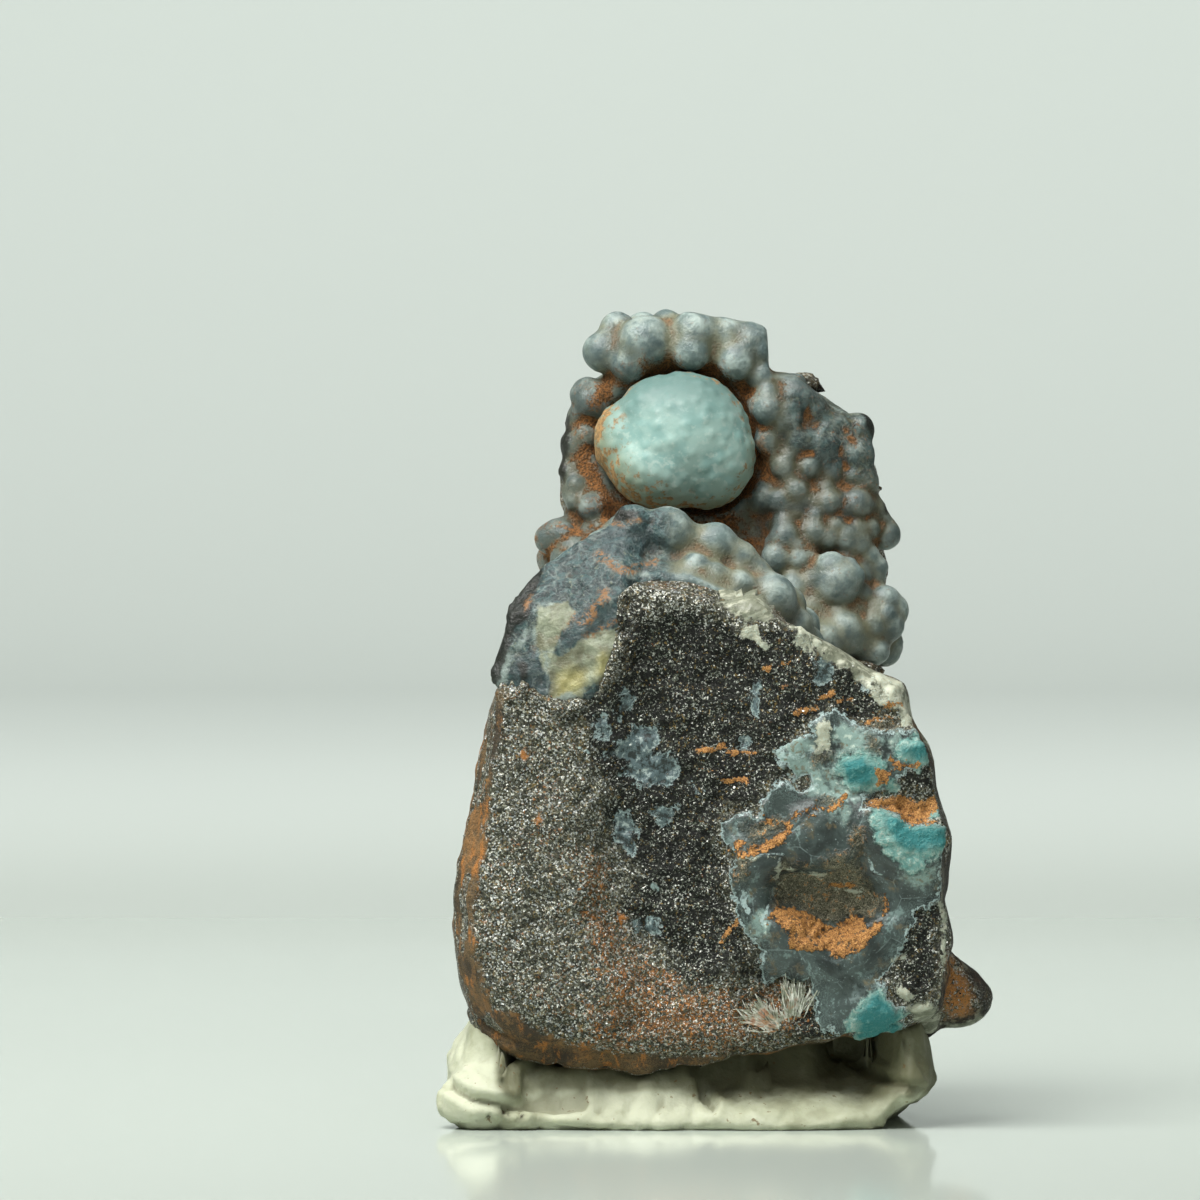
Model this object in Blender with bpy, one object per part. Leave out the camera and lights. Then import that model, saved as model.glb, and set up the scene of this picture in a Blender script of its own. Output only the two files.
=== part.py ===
"""Shattuckite and botryoidal chalcedony on a dark hematite matrix, set in a pad of display putty.

The frame: +X to the right and +Y away from whoever looks at the broken front face, +Z up.
The origin is on the surface that the putty stands on, under the middle of the whole piece.
Shapes are made in millimetres and turned into metres when each one is finished.
"""

import math

import bmesh
import bpy
from mathutils import Euler, Matrix, Vector, noise

METRES = 0.001

# Driving sizes, in millimetres
FRONT_Y = -8.5  # plane of the broken front face
RIND_DEPTH = 1.3  # how far back the face's worn edge runs
BLOCK_BACK_Y = -1.0  # where the front block merges into the rest
SEAT_GAP = 0.4  # clearance between pieces that touch
ROCK_VOXEL = 0.24
CRUST_VOXEL = 0.2
PUTTY_VOXEL = 0.5
ROCK_TRIANGLES = 3900
CRUST_TRIANGLES = 4300
BALL_TRIANGLES = 640
PUTTY_TRIANGLES = 1050

# Outline of the front block in X and Z, clockwise from its lowest point, and the width there
# of the worn edge between the outline and the flat of the face
BLOCK_OUTLINE = [
    (-2.8, 2.25, 0.95),
    (-6.0, 2.6, 1.1),
    (-8.1, 2.8, 1.3),
    (-9.1, 3.7, 1.35),
    (-10.0, 5.1, 1.2),
    (-10.4, 6.8, 0.8),
    (-10.65, 8.6, 0.75),
    (-10.55, 10.4, 0.9),
    (-10.05, 12.6, 0.9),
    (-9.7, 14.4, 0.85),
    (-9.4, 16.2, 0.6),
    (-8.95, 18.2, 0.3),
    (-7.7, 17.9, 0.1),
    (-6.2, 17.6, 0.1),
    (-5.2, 17.8, 0.1),
    (-4.6, 18.7, 0.1),
    (-4.2, 19.6, 0.1),
    (-4.0, 21.0, 0.1),
    (-3.3, 22.0, 0.1),
    (-1.0, 22.15, 0.3),
    (0.8, 21.35, 0.3),
    (2.3, 20.85, 0.3),
    (4.3, 19.75, 0.3),
    (6.3, 18.55, 0.3),
    (8.0, 17.8, 0.25),
    (8.55, 16.4, 0.25),
    (9.1, 14.4, 0.25),
    (9.65, 12.3, 0.25),
    (9.6, 10.3, 0.25),
    (9.6, 8.2, 0.25),
    (9.6, 6.4, 0.25),
    (9.2, 4.0, 0.25),
    (5.0, 3.45, 0.4),
    (1.5, 2.95, 0.7),
]

# Corners of the rock's other masses, each one a convex lump: (X, Y, Z)
BODY_CORNERS = [
    (-8.4, -6.5, 3.4), (8.7, -6.5, 4.2), (8.8, -3.0, 4.3), (7.4, 1.6, 3.9), (4.6, 5.4, 3.6),
    (-0.6, 6.6, 3.3), (-5.2, 5.0, 3.2), (-7.9, 1.4, 3.3), (-9.0, -3.4, 3.5),
    (-9.8, -5.5, 9.0), (-9.0, 0.0, 9.4), (-6.9, 4.4, 9.6), (-2.6, 7.7, 10.4), (3.6, 7.3, 8.9),
    (7.3, 3.6, 8.6), (8.8, -0.6, 9.2), (9.1, -5.2, 9.0),
    (-8.1, -5.2, 18.4), (-7.3, 0.2, 19.4), (-6.5, 4.6, 19.9), (-1.8, 7.9, 17.0),
    (4.4, 7.6, 17.4), (6.7, 4.6, 19.0), (6.9, 0.2, 18.0), (7.6, -5.2, 16.6),
]
WALL_CORNERS = [
    (-6.2, 3.7, 15.0), (6.8, 3.6, 15.0), (5.9, 6.4, 14.6), (1.2, 8.1, 14.0), (-5.0, 6.8, 15.4),
    (-6.45, 4.0, 23.6), (7.55, 4.3, 23.2), (6.3, 6.0, 22.0), (3.4, 7.9, 20.4), (-3.9, 7.4, 22.6),
    (-6.3, 4.3, 26.6), (-5.4, 4.9, 28.3), (7.75, 5.0, 25.4), (7.2, 5.1, 27.8), (4.6, 5.0, 29.9),
    (4.6, 6.2, 26.0), (-1.4, 7.3, 26.2), (-4.9, 6.2, 26.6),
    (-3.2, 4.8, 30.4), (1.5, 4.8, 30.5), (3.4, 4.9, 31.0), (1.2, 5.8, 29.6), (-2.2, 5.8, 29.9),
]
CORNER_LUMP = [
    (8.8, -6.2, 7.7), (10.5, -5.0, 6.3), (11.0, -4.4, 4.8), (10.75, -4.9, 3.95), (8.8, -6.6, 3.8),
    (8.2, -1.6, 8.0), (9.5, -0.6, 5.2), (8.8, -1.0, 4.0), (10.5, -2.9, 5.6),
]

# Broken planes of the rock: centre of a block that is knocked off, its size and its turn in degrees
ROCK_CHIPS = [
    ((-8.2, 9.2, 24.0), (6.0, 5.0, 16.0), (0, 9, 38)),  # back left of the wall
    ((8.6, 9.8, 26.4), (6.0, 5.0, 12.0), (8, -14, -34)),  # back right of the wall
    ((9.6, 6.6, 11.0), (5.0, 6.0, 12.0), (0, 4, -52)),  # back right of the body
    ((-10.2, 3.2, 14.2), (4.0, 8.0, 8.0), (6, 12, 14)),  # left flank
]

# Low relief of the front face: each patch is an outline in X and Z, how far it stands out,
# and the width of the slope at its edge
FACE_PATCHES = [
    # plates that end in ledges, right of the middle
    (
        [(0.7, 11.3), (3.0, 11.9), (3.3, 12.9), (5.4, 13.2), (5.9, 12.3), (5.8, 10.9), (4.9, 10.4),
         (3.0, 10.6), (1.0, 9.9)],
        0.5, 0.4,
    ),
    (
        [(6.1, 13.1), (7.0, 12.9), (7.9, 12.3), (9.3, 12.8), (9.3, 10.6), (8.0, 10.1), (6.9, 11.0),
         (6.0, 11.8)],
        0.6, 0.4,
    ),
    ([(5.6, 16.2), (8.9, 16.0), (9.0, 13.9), (7.6, 13.7), (6.0, 14.0)], 0.3, 0.5),
    # the gritty hollow and the ledge under it
    (
        [(2.3, 9.2), (2.6, 10.4), (4.6, 10.5), (6.7, 10.0), (7.0, 8.9), (5.8, 8.1), (5.0, 7.5), (3.8, 8.2)],
        -0.75, 0.5,
    ),
    (
        [(2.2, 8.7), (4.0, 8.3), (5.0, 7.2), (6.9, 8.6), (7.2, 7.6), (5.4, 6.0), (3.9, 6.6), (2.3, 7.2)],
        0.3, 0.5,
    ),
    # the darker middle of the face, set back, with the groove along its left and lower side
    (
        [(-3.6, 20.6), (0.6, 20.6), (2.0, 17.5), (1.2, 13.0), (0.4, 10.2), (0.6, 7.2), (-1.5, 6.2),
         (-3.2, 8.0), (-4.0, 11.5), (-3.4, 17.0)],
        -0.4, 1.0,
    ),
    (
        [(-4.5, 13.0), (-3.7, 13.0), (-3.4, 9.4), (-2.5, 7.4), (-0.8, 6.0), (-1.2, 5.0), (-3.3, 6.4),
         (-4.5, 9.0)],
        -0.35, 0.7,
    ),
    # the pit that holds the spray of crystals, and the slope of the lower left
    ([(0.6, 5.6), (1.4, 7.0), (2.4, 6.4), (4.0, 6.2), (4.3, 4.2), (1.6, 3.6)], -0.45, 0.5),
    ([(-8.4, 13.5), (-5.2, 13.5), (-4.8, 9.0), (-3.4, 5.5), (-4.6, 4.0), (-8.2, 4.6)], 0.35, 1.6),
]

# Chalcedony: corners of the sheets that the lumps grow from
RIDGE_CORNERS = [
    (-8.4, -7.7, 18.1), (-7.7, -8.4, 17.5), (-6.2, -8.7, 17.15), (-4.9, -8.75, 17.2),
    (-4.1, -8.8, 18.1), (-3.7, -8.8, 19.4), (-3.55, -8.5, 21.3), (-7.95, -8.0, 20.3), (-8.2, -7.0, 20.9),
    (-7.2, -6.3, 22.2), (-5.8, -5.8, 23.3), (-4.5, -5.5, 24.0), (-3.5, -5.3, 24.35), (-2.4, -4.9, 24.1),
    (-7.2, -3.9, 20.0), (-5.0, -2.6, 21.4), (-2.8, -2.3, 21.8), (-6.9, -4.6, 17.9), (-3.9, -4.6, 17.9),
]
CREST_CORNERS = [
    (-3.6, -7.3, 21.6), (-2.4, -7.3, 22.2), (-0.6, -7.3, 22.1), (1.4, -6.9, 21.2), (3.0, -6.4, 20.0),
    (-2.4, -4.5, 23.5), (-0.8, -4.1, 22.7), (1.2, -3.9, 21.7), (2.9, -3.5, 20.1),
    (-3.2, -1.6, 20.6), (0.0, -1.2, 20.2), (2.8, -1.6, 19.4), (3.2, -3.6, 18.6), (-3.2, -4.0, 18.6),
]
FLOOR_CORNERS = [
    (-5.4, -2.8, 20.4), (3.6, -2.8, 19.4), (4.6, 3.2, 20.2), (-5.8, 3.4, 21.0),
    (-5.6, -2.4, 17.6), (4.4, -2.4, 17.4), (6.0, 3.4, 17.6), (-5.9, 3.6, 18.0),
]
CURTAIN_CORNERS = [
    (-5.9, 2.9, 20.6), (-5.6, 2.4, 24.5), (-4.9, 2.9, 28.4), (-3.4, 2.7, 30.4), (1.6, 2.7, 30.2),
    (4.2, 3.1, 28.6), (6.0, 3.0, 27.4), (6.3, 2.5, 24.0), (6.4, 1.9, 20.6), (5.6, 1.2, 18.9),
    (3.2, 1.6, 19.4), (-6.0, 4.6, 20.6), (-5.7, 4.6, 27.0), (-4.9, 4.9, 29.2), (-3.2, 4.9, 31.2),
    (1.8, 4.9, 31.0), (5.9, 4.9, 28.2), (6.7, 4.6, 25.6), (6.5, 4.5, 19.6),
]

# Chalcedony lumps: (X, Y, Z, radius)
RIDGE_LUMPS = [
    (-3.1, -4.9, 24.05, 0.95), (-1.75, -4.8, 23.8, 1.12), (-2.5, -3.6, 23.5, 1.0), (-0.75, -4.6, 23.4, 0.8),
    (0.2, -4.6, 23.35, 0.92), (1.15, -4.5, 22.75, 0.8), (0.4, -3.1, 22.7, 0.95), (1.75, -4.5, 22.05, 0.8),
    (2.4, -5.1, 21.15, 1.12), (1.1, -5.7, 21.7, 0.7), (2.95, -3.6, 20.75, 0.98), (3.35, -4.6, 20.0, 0.85),
    (-0.6, -5.9, 22.5, 0.6), (0.2, -5.9, 22.2, 0.55), (3.9, -3.8, 19.3, 0.75),
    (-4.2, -3.4, 22.9, 1.05), (-5.4, -3.9, 22.0, 1.0), (-6.3, -4.4, 21.0, 0.9), (-1.0, -2.7, 22.4, 0.95),
    (-3.6, -2.2, 21.7, 1.0), (1.6, -2.4, 21.3, 0.95), (3.6, -2.2, 19.9, 0.9), (-5.3, -2.4, 20.6, 0.95),
]
WALL_LUMPS = [
    # along the top
    (-4.35, 3.0, 30.8, 0.85), (-3.75, 3.5, 31.7, 0.75), (-2.6, 2.5, 31.2, 1.12), (-3.2, 2.4, 30.4, 0.85),
    (-1.75, 3.4, 31.9, 0.65), (-0.6, 2.6, 31.6, 0.95), (-0.75, 2.2, 30.8, 0.8), (0.6, 2.9, 31.4, 0.9),
    (1.6, 2.9, 31.1, 0.95), (1.1, 2.3, 30.4, 0.8), (-2.7, 4.6, 31.6, 0.8), (-0.6, 4.5, 31.5, 0.85),
    (1.2, 4.4, 31.2, 0.85), (1.8, 3.2, 30.2, 0.8), (1.9, 4.2, 30.4, 0.8),
    # left of the ball
    (-4.75, 3.1, 28.9, 0.8), (-5.15, 3.4, 28.1, 0.7), (-5.4, 3.2, 27.0, 0.7), (-5.5, 3.1, 26.0, 0.62),
    (-5.3, 2.7, 25.1, 0.75), (-4.7, 2.2, 24.5, 0.7), (-6.1, 2.3, 23.3, 0.82), (-5.4, 1.6, 22.6, 0.9),
    (-6.2, 3.4, 22.2, 0.8), (-4.6, 0.6, 21.6, 0.95), (-4.4, 1.7, 23.4, 0.7), (-3.4, 1.2, 23.5, 0.65),
    # right of the ball, upper part
    (2.6, 2.9, 29.7, 0.8), (3.4, 2.4, 29.0, 0.75), (2.4, 2.2, 28.6, 0.85), (3.0, 2.1, 28.1, 0.8),
    (4.1, 2.8, 28.5, 0.75), (5.0, 3.0, 27.8, 0.75), (6.0, 3.4, 27.6, 0.75), (4.5, 2.5, 27.0, 0.9),
    (3.6, 2.1, 27.2, 0.7), (5.9, 2.9, 26.6, 0.85), (2.35, 2.0, 27.2, 0.6), (3.0, 2.0, 26.4, 0.6),
    (3.9, 2.2, 26.0, 0.7), (3.25, 1.7, 25.6, 0.48), (4.8, 2.4, 25.8, 0.7), (6.2, 2.8, 25.5, 0.75),
    # right of the ball, lower part
    (2.3, 1.9, 24.9, 0.62), (3.05, 1.6, 24.5, 0.58), (3.7, 1.7, 24.8, 0.52), (4.35, 1.8, 24.7, 0.6),
    (5.05, 2.0, 24.7, 0.6), (5.8, 2.3, 24.6, 0.68), (6.6, 2.9, 24.3, 0.66), (4.2, 1.5, 23.5, 0.75),
    (3.1, 1.3, 23.4, 0.6), (2.7, 1.1, 22.7, 0.6), (3.6, 1.1, 22.6, 0.6), (5.0, 1.7, 23.5, 0.62),
    (5.9, 1.9, 23.1, 0.75), (6.35, 2.4, 23.7, 0.55), (7.0, 3.1, 23.4, 0.66), (6.5, 2.0, 22.0, 0.6),
    (5.1, 0.8, 21.5, 1.14), (6.75, 1.6, 20.1, 1.2), (6.35, 1.2, 18.95, 1.0), (5.3, 0.4, 19.5, 1.05),
    (4.1, 0.5, 20.4, 0.75), (4.0, 0.9, 21.5, 0.7), (3.4, 0.6, 21.2, 0.65), (4.5, -0.4, 19.2, 0.85),
    (6.9, 3.0, 19.0, 0.95), (3.4, -0.6, 19.9, 0.8),
]

# Broken ends of the chalcedony: centre of a block that is knocked off, its size and its turn in degrees
CRUST_CHIPS = [
    ((3.35, 3.2, 31.6), (2.0, 6.0, 3.4), (0, -3, 0)),  # end of the top row
    ((1.0, 3.2, 33.15), (4.6, 6.0, 2.0), (0, 9, 0)),  # upper side of the top row
    ((-4.75, -5.2, 25.25), (3.2, 4.0, 1.6), (0, -36, 0)),  # peak of the ridge
    ((7.95, 4.4, 27.0), (1.6, 5.0, 5.4), (0, -12, 0)),  # right-hand side
]

# The blue ball: lobes that have grown together, (X, Y, Z) and the radii along each axis
BALL_LOBES = [
    ((-1.05, 1.55, 27.3), (2.72, 2.45, 2.72)),
    ((-3.1, 1.75, 27.25), (1.55, 1.6, 1.75)),
    ((-1.8, 1.35, 26.3), (2.35, 2.1, 1.85)),
    ((-0.2, 1.5, 26.7), (2.05, 2.1, 2.25)),
    ((-1.9, 1.5, 28.2), (1.85, 1.8, 1.7)),
]
BALL_BUMP = 0.13  # how far the ball's small bumps stand out

# Putty: rolls and folds, (X, Y, Z) and the radii along each axis
PUTTY_BLOBS = [
    ((-1.0, -0.8, 0.7), (9.3, 7.3, 2.3)),
    ((-8.8, -4.5, 1.9), (1.95, 3.5, 2.4)),
    ((-8.4, -6.9, 1.0), (2.85, 1.95, 1.35)),
    ((-3.0, -7.0, 0.85), (6.2, 1.95, 1.35)),
    ((3.0, -6.9, 0.95), (5.6, 1.9, 1.7)),
    ((7.35, -5.5, 1.95), (1.95, 2.9, 1.9)),
    ((7.0, -1.0, 1.0), (2.2, 3.8, 1.7)),
    ((-6.4, 2.2, 1.2), (3.4, 4.3, 2.0)),
    ((1.0, 5.6, 1.2), (6.4, 3.0, 2.0)),
]
PUTTY_CREASES = [  # folds pressed into the front: points in X and Z, half width, depth
    ([(-10.9, 2.0), (-9.6, 1.25), (-7.6, 0.95), (-5.2, 1.0)], 0.3, 0.3),
    ([(-7.4, 1.4), (-5.4, 1.75), (-3.2, 2.0), (-1.2, 2.2)], 0.35, 0.25),
    ([(-1.4, 2.1), (-0.7, 1.6), (0.1, 0.9)], 0.28, 0.22),
    ([(5.0, 2.9), (6.4, 2.1), (8.4, 1.6)], 0.3, 0.25),
]

# Base colour, roughness and metallic value of each piece
FINISHES = {
    "matrix": ((0.055, 0.048, 0.045, 1), 0.55, 0.35),
    "chalcedony": ((0.26, 0.30, 0.32, 1), 0.38, 0.0),
    "shattuckite_ball": ((0.36, 0.58, 0.58, 1), 0.42, 0.0),
    "display_putty": ((0.60, 0.60, 0.53, 1), 0.72, 0.0),
}


def remove_everything():
    for old in list(bpy.data.objects):
        bpy.data.objects.remove(old, do_unlink=True)


def make_object(name, mesh_maker):
    """A new object whose mesh is filled by mesh_maker(bm)."""
    bm = bmesh.new()
    mesh_maker(bm)
    mesh = bpy.data.meshes.new(name)
    bm.to_mesh(mesh)
    bm.free()
    made = bpy.data.objects.new(name, mesh)
    bpy.context.scene.collection.objects.link(made)
    return made


def bake(thing):
    """The object's modifiers are turned into mesh."""
    bpy.context.view_layer.update()
    graph = bpy.context.evaluated_depsgraph_get()
    finished = bpy.data.meshes.new_from_object(thing.evaluated_get(graph))
    thing.modifiers.clear()
    thing.data = finished
    return thing


def fuse(thing, voxel):
    """Overlapping shapes become one closed skin."""
    remesh = thing.modifiers.new("Fuse", "REMESH")
    remesh.mode = "VOXEL"
    remesh.voxel_size = voxel
    return bake(thing)


def relax(thing, times, factor=0.5):
    smooth = thing.modifiers.new("Relax", "SMOOTH")
    smooth.iterations = times
    smooth.factor = factor
    return bake(thing)


def simplify(thing, triangles):
    """Fewer faces, with flat stretches losing the most."""
    split = thing.modifiers.new("Split", "TRIANGULATE")
    split.quad_method = "BEAUTY"
    bake(thing)
    fewer = thing.modifiers.new("Simplify", "DECIMATE")
    fewer.ratio = min(1.0, triangles / len(thing.data.polygons))
    return bake(thing)


def swell(thing, distance, voxel):
    """A copy that stands off the original by distance, used to cut a seat for it."""
    grown = bpy.data.objects.new(thing.name + "_seat", thing.data.copy())
    bpy.context.scene.collection.objects.link(grown)
    push = grown.modifiers.new("Push", "DISPLACE")
    push.strength = distance
    push.mid_level = 0.0
    bake(grown)
    fuse(grown, voxel)
    return grown


def cut(thing, cutter):
    """The cutter's volume is taken out of thing."""
    boolean = thing.modifiers.new("Seat", "BOOLEAN")
    boolean.operation = "DIFFERENCE"
    boolean.solver = "EXACT"
    boolean.object = cutter
    return bake(thing)


def settle(thing, triangles, voxel=None):
    """Leaves a cut piece as one body of about so many triangles, its skin closed up first if asked."""
    if voxel:
        fuse(thing, voxel)
    drop_crumbs(thing)
    simplify(thing, triangles)


def drop_crumbs(thing):
    """Keeps the largest connected body of a piece and drops the crumbs that a cut has left."""
    bm = bmesh.new()
    bm.from_mesh(thing.data)
    unseen = set(bm.verts)
    bodies = []
    while unseen:
        body = {unseen.pop()}
        edge_of_body = list(body)
        while edge_of_body:
            for edge in edge_of_body.pop().link_edges:
                for vertex in edge.verts:
                    if vertex in unseen:
                        unseen.remove(vertex)
                        body.add(vertex)
                        edge_of_body.append(vertex)
        bodies.append(body)
    largest = max(bodies, key=len)
    crumbs = [vertex for body in bodies if body is not largest for vertex in body]
    bmesh.ops.delete(bm, geom=crumbs, context="VERTS")
    bm.to_mesh(thing.data)
    bm.free()


def knock_off(thing, chips):
    """Takes blocks of the given centre, size and turn out of a piece, which leaves flat breaks."""
    for centre, size, turn in chips:
        chip = make_object("chip", lambda bm: block(bm, centre, size, turn))
        cut(thing, chip)
        bpy.data.objects.remove(chip)


def hull(bm, corners):
    """The convex lump round some corners, such as a broken chunk of rock."""
    verts = [bm.verts.new(c) for c in corners]
    shaped = bmesh.ops.convex_hull(bm, input=verts)
    spare = {v for v in shaped["geom_interior"] + shaped["geom_unused"] if isinstance(v, bmesh.types.BMVert)}
    bmesh.ops.delete(bm, geom=list(spare), context="VERTS")


def ball(bm, centre, radii, subdivisions=3):
    place = Matrix.Translation(centre) @ Matrix.Diagonal((*radii, 1))
    bmesh.ops.create_icosphere(bm, subdivisions=subdivisions, radius=1.0, matrix=place)


def block(bm, centre, size, turn):
    place = (
        Matrix.Translation(centre)
        @ Euler([math.radians(angle) for angle in turn]).to_matrix().to_4x4()
        @ Matrix.Diagonal((*size, 1))
    )
    bmesh.ops.create_cube(bm, size=1.0, matrix=place)


def section(outline, y, edge_share, inset=0.0, lower_top=0.0):
    """The block's outline at one depth: inset by a share of its worn edge and more, its top brought down."""
    ring = []
    count = len(outline)
    for i, (x, z, edge) in enumerate(outline):
        before, after = outline[i - 1], outline[(i + 1) % count]
        along = Vector((after[0] - before[0], after[1] - before[1])).normalized()
        inward = Vector((along.y, -along.x))  # the outline runs clockwise, so inside is on the right
        top_share = max(0.0, (z - 14.0) / 8.0)
        ring.append((
            x + inward.x * (edge * edge_share + inset),
            y,
            z + inward.y * (edge * edge_share + inset) - lower_top * top_share,
        ))
    return ring


def loft(bm, rings):
    """A closed skin through rings of as many points each."""
    loops = [[bm.verts.new(p) for p in ring] for ring in rings]
    count = len(loops[0])
    for near, far in zip(loops, loops[1:]):
        for i in range(count):
            j = (i + 1) % count
            bm.faces.new((near[i], near[j], far[j], far[i]))
    bm.faces.new(list(reversed(loops[0])))
    bm.faces.new(loops[-1])
    bmesh.ops.recalc_face_normals(bm, faces=bm.faces)


def distance_to_line(x, z, points, closed):
    """How far (x, z) is from a line through the points."""
    pairs = list(zip(points, points[1:] + points[:1])) if closed else list(zip(points, points[1:]))
    nearest = math.inf
    for (ax, az), (bx, bz) in pairs:
        length2 = (bx - ax) ** 2 + (bz - az) ** 2
        t = min(1.0, max(0.0, ((x - ax) * (bx - ax) + (z - az) * (bz - az)) / length2))
        nearest = min(nearest, math.hypot(x - ax - t * (bx - ax), z - az - t * (bz - az)))
    return nearest


def inside(x, z, points):
    """Whether (x, z) is inside the outline."""
    crossings = False
    for (ax, az), (bx, bz) in zip(points, points[1:] + points[:1]):
        if (az > z) != (bz > z) and x < (bx - ax) * (z - az) / (bz - az) + ax:
            crossings = not crossings
    return crossings


def ease(t):
    t = min(1.0, max(0.0, t))
    return t * t * (3 - 2 * t)


def face_relief(x, z):
    """How far the front face stands out at (x, z)."""
    out = 0.0
    for outline, height, slope in FACE_PATCHES:
        depth = distance_to_line(x, z, outline, True)
        signed = depth if inside(x, z, outline) else -depth
        out += height * ease(signed / slope + 0.5)
    return out


def roughen_rock(rock):
    """Breaks up the rock's skin: steps and patches on the front face, coarse lumps elsewhere."""
    mesh = rock.data
    moved = []
    for vertex in mesh.vertices:
        p, n = vertex.co, vertex.normal
        facing = ease((-n.y - 0.55) / 0.3) * ease((FRONT_Y + 1.6 - p.y) / 0.8)
        coarse = noise.fractal(p * 0.28, 1.0, 2.0, 4, noise_basis="PERLIN_ORIGINAL")
        chips = noise.voronoi(p * 0.32)[0]
        rough = 0.5 * coarse + 0.5 * (chips[1] - chips[0]) - 0.26
        fine = 0.12 * noise.noise(p * 1.3)
        out = facing * (face_relief(p.x, p.z) + 0.10 * coarse + 0.6 * fine)
        out += (1 - facing) * (rough + fine)
        moved.append(p + n * out)
    for vertex, place in zip(mesh.vertices, moved):
        vertex.co = place


def roughen_ball(thing):
    """Small rounded bumps over the ball."""
    mesh = thing.data
    moved = []
    for vertex in mesh.vertices:
        near = noise.voronoi(vertex.co * 1.15)[0][0]
        moved.append(vertex.co + vertex.normal * BALL_BUMP * (0.55 - near))
    for vertex, place in zip(mesh.vertices, moved):
        vertex.co = place


def knead(putty):
    """Presses the folds and thumb marks into the putty."""
    mesh = putty.data
    moved = []
    for vertex in mesh.vertices:
        p, n = vertex.co, vertex.normal
        out = 0.16 * noise.fractal(p * 0.35, 1.0, 2.0, 3, noise_basis="PERLIN_ORIGINAL")
        if p.y < -3.0:
            for points, half_width, depth in PUTTY_CREASES:
                away = distance_to_line(p.x, p.z, points, False)
                out -= depth * (1 - ease(away / half_width))
        moved.append(p + n * out)
    for vertex, place in zip(mesh.vertices, moved):
        vertex.co = place


def slice_flat(thing, point, normal):
    """Cuts off what lies past a plane, on the side its normal points to, and closes the cut."""
    bm = bmesh.new()
    bm.from_mesh(thing.data)
    everything = bm.verts[:] + bm.edges[:] + bm.faces[:]
    bmesh.ops.bisect_plane(bm, geom=everything, plane_co=point, plane_no=normal, clear_outer=True)
    rim = [e for e in bm.edges if e.is_boundary]
    bmesh.ops.contextual_create(bm, geom=rim)
    bmesh.ops.triangulate(bm, faces=[f for f in bm.faces if len(f.verts) > 4])
    bmesh.ops.recalc_face_normals(bm, faces=bm.faces)
    bm.to_mesh(thing.data)
    bm.free()


def build_rock():
    rings = [
        section(BLOCK_OUTLINE, FRONT_Y, 1.0),
        section(BLOCK_OUTLINE, FRONT_Y + 0.45 * RIND_DEPTH, 0.42),
        section(BLOCK_OUTLINE, FRONT_Y + RIND_DEPTH, 0.0),
        section(BLOCK_OUTLINE, -4.6, 0.0, 0.3, 1.4),
        section(BLOCK_OUTLINE, BLOCK_BACK_Y, 0.0, 1.3, 3.4),
    ]

    def shapes(bm):
        loft(bm, rings)
        for corners in (BODY_CORNERS, WALL_CORNERS, CORNER_LUMP):
            hull(bm, corners)

    rock = make_object("matrix", shapes)
    fuse(rock, ROCK_VOXEL)
    knock_off(rock, ROCK_CHIPS)
    fuse(rock, ROCK_VOXEL)
    roughen_rock(rock)
    fuse(rock, ROCK_VOXEL)
    return rock


def build_crust():
    def shapes(bm):
        for corners in (RIDGE_CORNERS, CREST_CORNERS, FLOOR_CORNERS, CURTAIN_CORNERS):
            hull(bm, corners)
        for x, y, z, radius in RIDGE_LUMPS + WALL_LUMPS:
            ball(bm, (x, y, z), (radius, radius, radius))

    crust = make_object("chalcedony", shapes)
    fuse(crust, CRUST_VOXEL)
    knock_off(crust, CRUST_CHIPS)
    return crust


def build_ball():
    def shapes(bm):
        for centre, radii in BALL_LOBES:
            ball(bm, centre, radii, 4)

    grown = make_object("shattuckite_ball", shapes)
    fuse(grown, CRUST_VOXEL)
    relax(grown, 6)
    roughen_ball(grown)
    simplify(grown, BALL_TRIANGLES)
    return grown


def build_putty():
    def shapes(bm):
        for centre, radii in PUTTY_BLOBS:
            ball(bm, centre, radii, 4)

    putty = make_object("display_putty", shapes)
    fuse(putty, PUTTY_VOXEL)
    relax(putty, 4)
    knead(putty)
    fuse(putty, PUTTY_VOXEL)
    return putty


def finish(thing):
    """Millimetres become metres, and the piece gets its material."""
    colour, roughness, metallic = FINISHES[thing.name]
    material = bpy.data.materials.new(thing.name)
    material.use_nodes = True
    shader = material.node_tree.nodes["Principled BSDF"]
    shader.inputs["Base Color"].default_value = colour
    shader.inputs["Roughness"].default_value = roughness
    shader.inputs["Metallic"].default_value = metallic
    thing.data.materials.clear()
    thing.data.materials.append(material)
    thing.data.transform(Matrix.Scale(METRES, 4))
    thing.data.shade_smooth()
    thing.data.set_sharp_from_angle(angle=math.radians(35))


def main():
    remove_everything()
    bpy.context.preferences.edit.use_global_undo = False
    rock = build_rock()
    crust = build_crust()
    grown_ball = build_ball()
    putty = build_putty()
    ball_seat = swell(grown_ball, SEAT_GAP, CRUST_VOXEL)
    cut(crust, ball_seat)
    settle(crust, CRUST_TRIANGLES)
    crust_seat = swell(crust, SEAT_GAP, ROCK_VOXEL)
    cut(rock, ball_seat)
    cut(rock, crust_seat)
    settle(rock, ROCK_TRIANGLES, ROCK_VOXEL)
    rock_seat = swell(rock, SEAT_GAP, ROCK_VOXEL)
    cut(putty, rock_seat)
    settle(putty, PUTTY_TRIANGLES)
    slice_flat(putty, (0, 0, 0), (0, 0, -1))
    for cutter in (ball_seat, crust_seat, rock_seat):
        bpy.data.objects.remove(cutter)
    for thing in (rock, crust, grown_ball, putty):
        finish(thing)


main()
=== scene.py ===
import math
import time

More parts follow.
